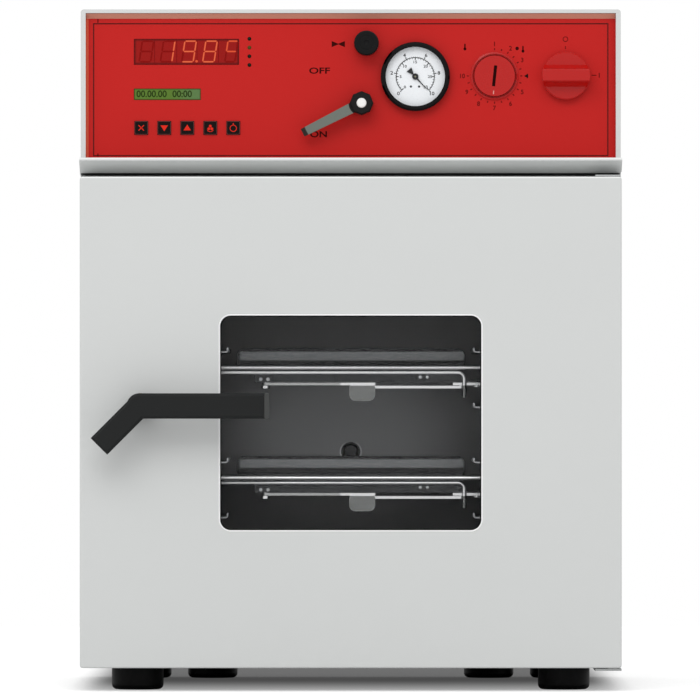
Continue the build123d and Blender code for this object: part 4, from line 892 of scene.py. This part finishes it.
def build_lcd():
    """Date and time readout in small dark characters."""
    parts = [letters(word, (x, LCD_MIDDLE), LCD_TALL, 0.95) for word, x in LCD_WORDS]
    ink = ink_material("lcd_ink", srgb(40, 60, 20))
    print_marks("lcd_digits", parts, above("lcd_display"), ink)


# ---------------------------------------------------------------- keys
def key_symbol(index, centre):
    """Red symbol of one key: cross, down, up, three lobes, or a ring with a mark on top."""
    x, z = centre
    if index == 0:
        arm = 2.6
        return [stroke([[x - arm, z - arm], [x + arm, z + arm]], 0.9),
                stroke([[x - arm, z + arm], [x + arm, z - arm]], 0.9)]
    if index == 1:
        return [polygon((x - 3.6, z + 2.4), (x, z - 3.2), (x + 3.6, z + 2.4))]
    if index == 2:
        return [polygon((x - 3.6, z - 2.4), (x + 3.6, z - 2.4), (x, z + 3.2))]
    if index == 3:
        lobes = [disc(centre + 1.7 * heading(degrees), 1.35, 20) for degrees in (90, 210, 330)]
        return lobes + [stroke(arc(centre, 3.6, 215, 325, 20), 0.6)]
    return [ring(np.array([x, z - 0.4]), 2.7, 3.4, 48), stroke([[x, z + 2.9], [x, z + 4.6]], 0.9)]


def build_keys():
    """Symbols with a faint painted glow, and painted highlights round the edges of the five keys, each riding
    on its key.
    """
    colour = tuple(colours().key_mark)
    # Painted light: the red symbols glow faintly, though they are no lamp.
    mark = emission(ink_material("key_ink", colour), colour, 0.15)
    # Painted highlight: a pale ring round the edge of each key.
    edge = ink_material("key_edge_highlight", srgb(128, 84, 80), 0.4)
    for index in range(5):
        node = f"key_{index + 1}"
        centre = (KEY_FIRST_X + index * KEY_PITCH, KEY_Z)
        outer = rounded_outline(centre, KEY_SIDE - 0.3, KEY_SIDE - 0.3, 1.2, 8)
        inner = rounded_outline(centre, KEY_SIDE - 0.8, KEY_SIDE - 0.8, 0.95, 8)
        print_marks(f"{node}_symbol", key_symbol(index, centre), above(node), mark, node)
        print_marks(f"{node}_edge", [strip(outer, inner, True)], above(node, 0.5), edge, node)


# ---------------------------------------------------------------- panel prints
VALVE_SYMBOL = (((-18.2, 620.1), (-18.2, 614.3), (-11.2, 617.2)),
                ((-5.6, 614.3), (-5.6, 620.1), (-12.6, 617.2)))
CORNER_NOTCHES = (((-241.7, 637.6), (-241.7, 641.2)), ((-241.7, 509.6), (-241.7, 512.6)))
PANEL_WORDS = (("OFF", (-29.8, 591.8), 1.42), ("ON", (-30.8, 531.0), 1.3))
THERMOMETERS = ((109.2, 614.3), (164.7, 612.2))
LIMITER_DOT = (159.1, 613.0)
SWITCH_RING = (205.3, 621.9)
SWITCH_LINES = (((205.3, 612.4), (205.3, 615.2)), ((230.3, 587.3), (234.9, 587.3)),
                ((237.6, 585.0), (237.6, 589.6)))
LIMITER_ARROW = ((165.6, 586.7), (169.6, 584.7), (169.6, 588.7))
# The dial's scale runs clockwise from its first to its last angle.
GAUGE_FIRST = 225.0
GAUGE_LAST = -45.0
GAUGE_TICKS = ((16.8, 18.2, 31, 0.5), (15.9, 18.2, 7, 0.9), (18.2, 19.3, 51, 0.35))
GAUGE_DOTS = ((57.5, 576.4), (65.3, 576.4))
GAUGE_ARC_R = 18.2
GAUGE_WEDGE_R = (18.0, 20.4)
GAUGE_OUTER_R = 22.8
GAUGE_INNER_R = 14.0
LIMITER_TICK_R = (24.6, 26.6)
LIMITER_NUMBER_R = 30.6
LIMITER_EDGE_R = (19.4, 20.1)
LIMITER_SLOT = (84.0, 9.9, 2.9)


def thermometer(x, z):
    """Bulb and stem of a small thermometer symbol."""
    half = 3.2
    bulb = 1.4
    low = z - half + bulb
    return [disc((x, low), bulb, 20), stroke([[x, low], [x, z + half]], 1.3)]


def build_panel_print():
    """Valve symbol, words at the lever's ends, thermometers and the main switch's symbols."""
    y = PANEL_Y - mm(sizes().lift)
    marks = [polygon(*points) for points in VALVE_SYMBOL]
    marks += [stroke(path, 0.9) for path in CORNER_NOTCHES]
    marks += [letters(word, place, mm(sizes().word_height), stretch) for word, place, stretch in PANEL_WORDS]
    for place in THERMOMETERS:
        marks += thermometer(*place)
    marks.append(disc(LIMITER_DOT, 1.7, 16))
    print_marks("panel_symbols", marks, y, ink_material("panel_ink", tuple(colours().ink)))
    faint = [ring(np.array(SWITCH_RING), 1.9, 2.6, 40)]
    faint += [stroke(path, 0.8) for path in SWITCH_LINES]
    print_marks("switch_symbols", faint, y, ink_material("switch_ink", FAINT_INK))


def build_gauge_print():
    """Scale arc, ticks, wedges and numbers of the dial under its lens, and the pointer's hub."""
    centre = np.array(GAUGE)
    marks = [stroke(arc(GAUGE, GAUGE_ARC_R, GAUGE_FIRST, GAUGE_LAST, 90), 0.75)]
    for inner, outer, number, width in GAUGE_TICKS:
        marks += ticks(GAUGE, inner, outer, np.linspace(GAUGE_FIRST, GAUGE_LAST, number), width)
    for step, angle in enumerate(np.linspace(GAUGE_FIRST, GAUGE_LAST, 6)):
        away = heading(angle)
        side = np.array([-away[1], away[0]]) * 0.7
        tip, back = (centre + away * radius for radius in GAUGE_WEDGE_R)
        marks.append(polygon(tip, back - side, back + side))
        marks.append(letters(str(step * 2), centre + away * GAUGE_OUTER_R, 3.4, 1.15))
    for step, angle in enumerate(np.linspace(GAUGE_FIRST, GAUGE_LAST, 7)):
        marks.append(letters(str(step * 5), centre + heading(angle) * GAUGE_INNER_R, 2.7, 1.15))
    marks += [disc(place, 1.1, 20) for place in GAUGE_DOTS]
    print_marks("gauge_scale", marks, above("gauge_dial"), ink_material("gauge_ink", srgb(14, 14, 16)))
    hub_y = above("gauge_pointer")
    print_marks("gauge_hub_disc", [disc(centre, 2.5, 40)], hub_y, ink_material("hub_ink", srgb(12, 12, 12)),
                "pointer")
    hub = surface("gauge_hub", srgb(126, 122, 96), 0.35, 0.5, "brushed", scale=120.0)
    print_marks("gauge_hub_cap", [disc(centre, 0.8, 32)], hub_y - 0.02, hub, "pointer")


def build_limiter_print():
    """Ticks every 15 degrees, numbers 1 to 10 every 30 degrees, an arrow, the dial's pale mark, and painted
    shade in the gap round the dial and on the floor of its slot.
    """
    y = PANEL_Y - mm(sizes().lift)
    centre = np.array(LIMITER)
    marks = ticks(LIMITER, *LIMITER_TICK_R, 90.0 - np.arange(0, 271, 15), mm(sizes().tick_width))
    for step in range(10):
        place = centre + heading(90.0 - step * 30) * LIMITER_NUMBER_R
        marks.append(letters(str(step + 1), place, mm(sizes().number_height), 0.95))
    print_marks("limiter_scale", marks, y, ink_material("limiter_ink", FAINT_INK))
    dark = ink_material("limiter_mark_ink", srgb(20, 14, 12))
    print_marks("limiter_mark", [polygon(*LIMITER_ARROW)], y - 0.02, dark)
    dial_y = above("limiter_dial")
    pale = [stroke([[LIMITER[0] - 1.2, LIMITER[1] - 17.6], [LIMITER[0] - 0.9, LIMITER[1] - 14.2]], 0.9)]
    print_marks("limiter_dial_mark", pale, dial_y, ink_material("dial_mark_ink", srgb(226, 160, 152)),
                "limiter")
    # Painted shade in the gap round the dial.
    gap = ink_material("limiter_gap_shade", srgb(84, 8, 6))
    print_marks("limiter_dial_gap_shade", [ring(centre, *LIMITER_EDGE_R, 72)], dial_y, gap, "limiter")
    # Painted shade on the floor of the dial's slot.
    lean, reach, width = LIMITER_SLOT
    along = heading(lean) * reach
    floor = [stroke([centre - along, centre + along], width)]
    print_marks("limiter_slot_shade", floor, front_of("limiter_dial") + 1.5,
                ink_material("slot_shade", srgb(40, 6, 5)), "limiter")


# ---------------------------------------------------------------- door window
def carried(outline, profile, y):
    """Closed profile (outwards, forwards) carried round a closed outline of the front view."""
    step = np.roll(outline, -1, axis=0) - np.roll(outline, 1, axis=0)
    step /= np.linalg.norm(step, axis=1, keepdims=True)
    out = np.stack([step[:, 1], -step[:, 0]], axis=1)
    rows, count = len(profile), len(outline)
    flat = outline[None] + profile[:, None, :1] * out[None]
    depth = np.broadcast_to(y - profile[:, None, 1:], (rows, count, 1))
    points = np.concatenate([flat[..., :1], depth, flat[..., 1:]], axis=2).reshape(-1, 3)
    return points, grid_faces(rows, count, closed=True)


def bead(name, grow, radius, depth, material):
    """Small round bead carried round the window opening, its middle a depth behind the door's face."""
    angle = np.radians(np.arange(0, 360, 45))
    profile = radius * np.stack([np.cos(angle), np.sin(angle)], axis=1)
    outline = rounded_outline((0.0, WINDOW_Z), WINDOW_W + grow, WINDOW_H + grow, WINDOW_R + grow / 2, 12)
    points, triangles = carried(outline, profile, mm(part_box("door_skin")[0].y) + depth)
    make_mesh(name, points, triangles, material, "door", smooth=True)


def build_window_edge():
    """White bead round the window opening as a painted highlight of its folded edge, and the dark seal just
    inside it, which also paints the shade along the opening's inner edge.
    """
    bright = surface("window_edge_highlight", srgb(254, 254, 254), 0.3, spread=0.01)
    dark = surface("seal_black", srgb(7, 7, 7), 0.7, shine=0.05)
    # Painted highlight: a white bead for the folded edge catching light; the dark seal next also paints the
    # shade inside the opening.
    bead("window_edge", 0.6, 0.8, 0.5, bright)
    bead("window_seal", -1.6, 0.6, 1.3, dark)


# ---------------------------------------------------------------- fasteners
RIVET_X = (66.8, 73.6)
RIVET_DROP = 9.7
BOLT_X = (-86.4, -79.4)
BOLT_DROP = 12.0
BOLT_RADIUS = 1.9
SCREW_INSET = 8.0
HEXAGON = {"count": 24, "lobes": (1, 1.0)}


def build_fasteners():
    """Rivets on the shelf channels, bolts on their brackets, and the screws of the rear panel."""
    rivet = dome_profile(mm(sizes().rivet_radius), 0.9)
    bolt = screw_profile(BOLT_RADIUS)
    front, rear = (0, -1, 0), (0, 1, 0)
    steel = surface("rivet_steel", srgb(226, 228, 230), 0.18, 0.9, "brushed", scale=120.0)
    for number, level in enumerate(CHANNEL_LEVELS, start=1):
        rivets = [(x, CHANNEL_FRONT_Y, level - RIVET_DROP) for x in RIVET_X]
        bolts = [(x, CHANNEL_FRONT_Y, level - BOLT_DROP) for x in BOLT_X]
        place_many(f"channel_rivets_{number}", rivet, rivets, front, steel, "clamp_steel")
        place_many(f"bracket_bolts_{number}", bolt, bolts, front, steel, "clamp_steel", **HEXAGON)
    low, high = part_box("rear_panel")
    rear_y = mm(high.y)
    left, right = mm(low.x) + SCREW_INSET, mm(high.x) - SCREW_INSET
    bottom, top = mm(low.z) + SCREW_INSET, mm(high.z) - SCREW_INSET
    places = [(x, rear_y, z) for x in (left, right) for z in np.linspace(bottom, top, 4)]
    places += [(x, rear_y, z) for x in np.linspace(left, right, 4)[1:-1] for z in (bottom, top)]
    zinc = surface("screw_zinc", srgb(178, 180, 178), 0.35, 0.85, "brushed", scale=150.0)
    screw = screw_profile(mm(sizes().screw_radius))
    place_many("rear_screws", screw, places, rear, zinc, "plate_steel", **HEXAGON)


# ---------------------------------------------------------------- stage
FLOOR_TONE = (0.80, 0.80, 0.80)
FLOOR_GLOW = 0.42
SHADE_LOSS = 0.35
WHITE = (1.0, 1.0, 1.0, 1.0)
LAMP_SIZE = (3.2, 2.0)
LAMP_PLACE = (-0.7, -3.4, 3.0)
LAMP_AIM = (0.0, -0.2, 0.35)
CAMERA_PLACE = (0.0003, -9.1425, 0.260)
CAMERA_LENS = 481.8
CAMERA_SENSOR = 36.0
CAMERA_SHIFT = (-0.0015, 0.0966)
CAMERA_REACH = 100.0


def build_floor(scene, half):
    """Pale floor, darker under the oven; the camera sees it with an even glow that the shade lowers."""
    corners = np.array([[-half, -half, 0], [half, -half, 0], [half, half, 0], [-half, half, 0]], float)
    mesh = bpy.data.meshes.new("floor")
    mesh.from_pydata((corners * MM).tolist(), [], [(0, 1, 2, 3)])
    floor = bpy.data.objects.new("floor", mesh)
    scene.collection.objects.link(floor)
    material = surface("floor_pale", FLOOR_TONE, 0.9, spread=0.01, scale=30.0, bump=0.0)
    tree = material.node_tree
    shader = tree.nodes["Principled BSDF"]
    shade = product(tree, FLOOR_SHADE)
    overlay(material, "floor_shade", shade)
    path = tree.nodes.new("ShaderNodeLightPath")
    glow = math_node(tree, "SUBTRACT", FLOOR_GLOW, math_node(tree, "MULTIPLY", shade, SHADE_LOSS))
    seen = math_node(tree, "MULTIPLY", path.outputs["Is Camera Ray"], glow)
    shader.inputs["Emission Color"].default_value = WHITE
    shader.inputs["Specular IOR Level"].default_value = 0.0
    tree.links.new(seen, shader.inputs["Emission Strength"])
    mesh.materials.append(material)


def build_surroundings(scene, ambient):
    """White world: full strength for rays that see it directly, the ambient strength for its light."""
    world = bpy.data.worlds.new("surroundings")
    world.use_nodes = True
    scene.world = world
    tree = world.node_tree
    back = tree.nodes["Background"]
    back.inputs["Color"].default_value = WHITE
    ray = tree.nodes.new("ShaderNodeLightPath").outputs
    seen = math_node(tree, "MAXIMUM", ray["Is Camera Ray"], ray["Is Transmission Ray"])
    seen = math_node(tree, "MAXIMUM", seen, ray["Is Glossy Ray"])
    strength = math_node(tree, "MULTIPLY_ADD", seen, 1.0 - ambient)
    strength.node.inputs[2].default_value = ambient
    tree.links.new(strength, back.inputs["Strength"])


def build_stage():
    """Floor, surroundings, one large soft light and the camera."""
    settings = bpy.context.scene.oven_stage
    scene = bpy.context.scene
    build_floor(scene, mm(settings.floor_size) / 2)
    build_surroundings(scene, settings.ambient)
    light = bpy.data.lights.new("front_top_light", "AREA")
    light.shape = "RECTANGLE"
    light.size, light.size_y = LAMP_SIZE
    light.energy = settings.key_watts
    lamp = bpy.data.objects.new("front_top_light", light)
    scene.collection.objects.link(lamp)
    lamp.location = LAMP_PLACE
    lamp.rotation_euler = (Vector(LAMP_AIM) - lamp.location).to_track_quat("-Z", "Y").to_euler()
    camera = bpy.data.cameras.new("camera")
    camera.lens = CAMERA_LENS
    camera.sensor_width = CAMERA_SENSOR
    camera.shift_x, camera.shift_y = CAMERA_SHIFT
    camera.clip_end = CAMERA_REACH
    holder = bpy.data.objects.new("camera", camera)
    holder.location = CAMERA_PLACE
    holder.rotation_euler = (math.pi / 2, 0.0, 0.0)
    scene.collection.objects.link(holder)
    scene.camera = holder
    scene.view_settings.view_transform = "Standard"


def build_finishes():
    """Gives each node of the frame the finish of its material slot."""
    made = slot_materials()
    for entry in RECORD["materials"]:
        if entry["slot"] not in made:
            raise RuntimeError(f"no finish is made for the slot {entry['slot']}")
    slot_of = {part["node"]: part["material_slot"] for part in RECORD["subparts"]}
    for name, node in NODES.items():
        for place in node.material_slots:
            place.material = made[slot_of[name]]
    polished = surface("rail_steel", srgb(206, 208, 210), 0.25, 0.85, "brushed", bump=0.04)
    for place in NODES[RAIL_NODE].material_slots:
        place.material = polished


# ---------------------------------------------------------------- operators
class OVEN_OT_finishes(bpy.types.Operator):
    """Give each frame node its finish"""
    bl_idname = "oven.finishes"
    bl_label = "Finishes"

    def execute(self, context):
        build_finishes()
        return {"FINISHED"}


class OVEN_OT_led(bpy.types.Operator):
    """Build the digits of the temperature readout"""
    bl_idname = "oven.led"
    bl_label = "LED readout"

    def execute(self, context):
        build_led()
        return {"FINISHED"}


class OVEN_OT_lcd(bpy.types.Operator):
    """Build the digits of the small display"""
    bl_idname = "oven.lcd"
    bl_label = "LCD readout"

    def execute(self, context):
        build_lcd()
        return {"FINISHED"}


class OVEN_OT_keys(bpy.types.Operator):
    """Build the symbols and edges of the keys"""
    bl_idname = "oven.keys"
    bl_label = "Keys"

    def execute(self, context):
        build_keys()
        return {"FINISHED"}


class OVEN_OT_panel_print(bpy.types.Operator):
    """Build the words and symbols of the control panel"""
    bl_idname = "oven.panel_print"
    bl_label = "Panel print"

    def execute(self, context):
        build_panel_print()
        return {"FINISHED"}


class OVEN_OT_gauge_print(bpy.types.Operator):
    """Build the dial's scale and the pointer's hub"""
    bl_idname = "oven.gauge_print"
    bl_label = "Gauge print"

    def execute(self, context):
        build_gauge_print()
        return {"FINISHED"}


class OVEN_OT_limiter_print(bpy.types.Operator):
    """Build the limiter's scale and marks"""
    bl_idname = "oven.limiter_print"
    bl_label = "Limiter print"

    def execute(self, context):
        build_limiter_print()
        return {"FINISHED"}


class OVEN_OT_window_edge(bpy.types.Operator):
    """Build the painted highlight bead and the dark seal of the door's window"""
    bl_idname = "oven.window_edge"
    bl_label = "Window edge"

    def execute(self, context):
        build_window_edge()
        return {"FINISHED"}


class OVEN_OT_fasteners(bpy.types.Operator):
    """Build the rivets, bolts and screws"""
    bl_idname = "oven.fasteners"
    bl_label = "Fasteners"

    def execute(self, context):
        build_fasteners()
        return {"FINISHED"}


class OVEN_OT_stage(bpy.types.Operator):
    """Build the floor, light, surroundings and camera"""
    bl_idname = "oven.stage"
    bl_label = "Stage"

    def execute(self, context):
        build_stage()
        return {"FINISHED"}


class OVEN_PT_looks(bpy.types.Panel):
    """Settings and steps of the oven's looks"""
    bl_label = "Vacuum oven"
    bl_idname = "OVEN_PT_looks"
    bl_space_type = "VIEW_3D"
    bl_region_type = "UI"
    bl_category = "Oven"

    def draw(self, context):
        for settings in (context.scene.oven_colours, context.scene.oven_sizes, context.scene.oven_stage):
            box = self.layout.box()
            for key in settings.bl_rna.properties.keys():
                if key not in ("rna_type", "name"):
                    box.prop(settings, key)
        for step in STEPS:
            self.layout.operator(step.bl_idname)


STEPS = (OVEN_OT_finishes, OVEN_OT_led, OVEN_OT_lcd, OVEN_OT_keys,
         OVEN_OT_panel_print, OVEN_OT_gauge_print, OVEN_OT_limiter_print,
         OVEN_OT_window_edge, OVEN_OT_fasteners, OVEN_OT_stage)
GROUPS_OF_SETTINGS = {"oven_colours": OvenColours, "oven_sizes": OvenSizes, "oven_stage": OvenStage}


def register():
    for settings in GROUPS_OF_SETTINGS.values():
        bpy.utils.register_class(settings)
    for step in STEPS:
        bpy.utils.register_class(step)
    bpy.utils.register_class(OVEN_PT_looks)
    for name, settings in GROUPS_OF_SETTINGS.items():
        setattr(bpy.types.Scene, name, bpy.props.PointerProperty(type=settings))


def unregister():
    for name in GROUPS_OF_SETTINGS:
        delattr(bpy.types.Scene, name)
    bpy.utils.unregister_class(OVEN_PT_looks)
    for step in reversed(STEPS):
        bpy.utils.unregister_class(step)
    for settings in reversed(list(GROUPS_OF_SETTINGS.values())):
        bpy.utils.unregister_class(settings)


def main():
    """Builds every piece in order."""
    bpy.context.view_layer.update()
    register()
    for step in STEPS:
        space, action = step.bl_idname.split(".")
        getattr(getattr(bpy.ops, space), action)()


if __name__ == "__main__":
    main()
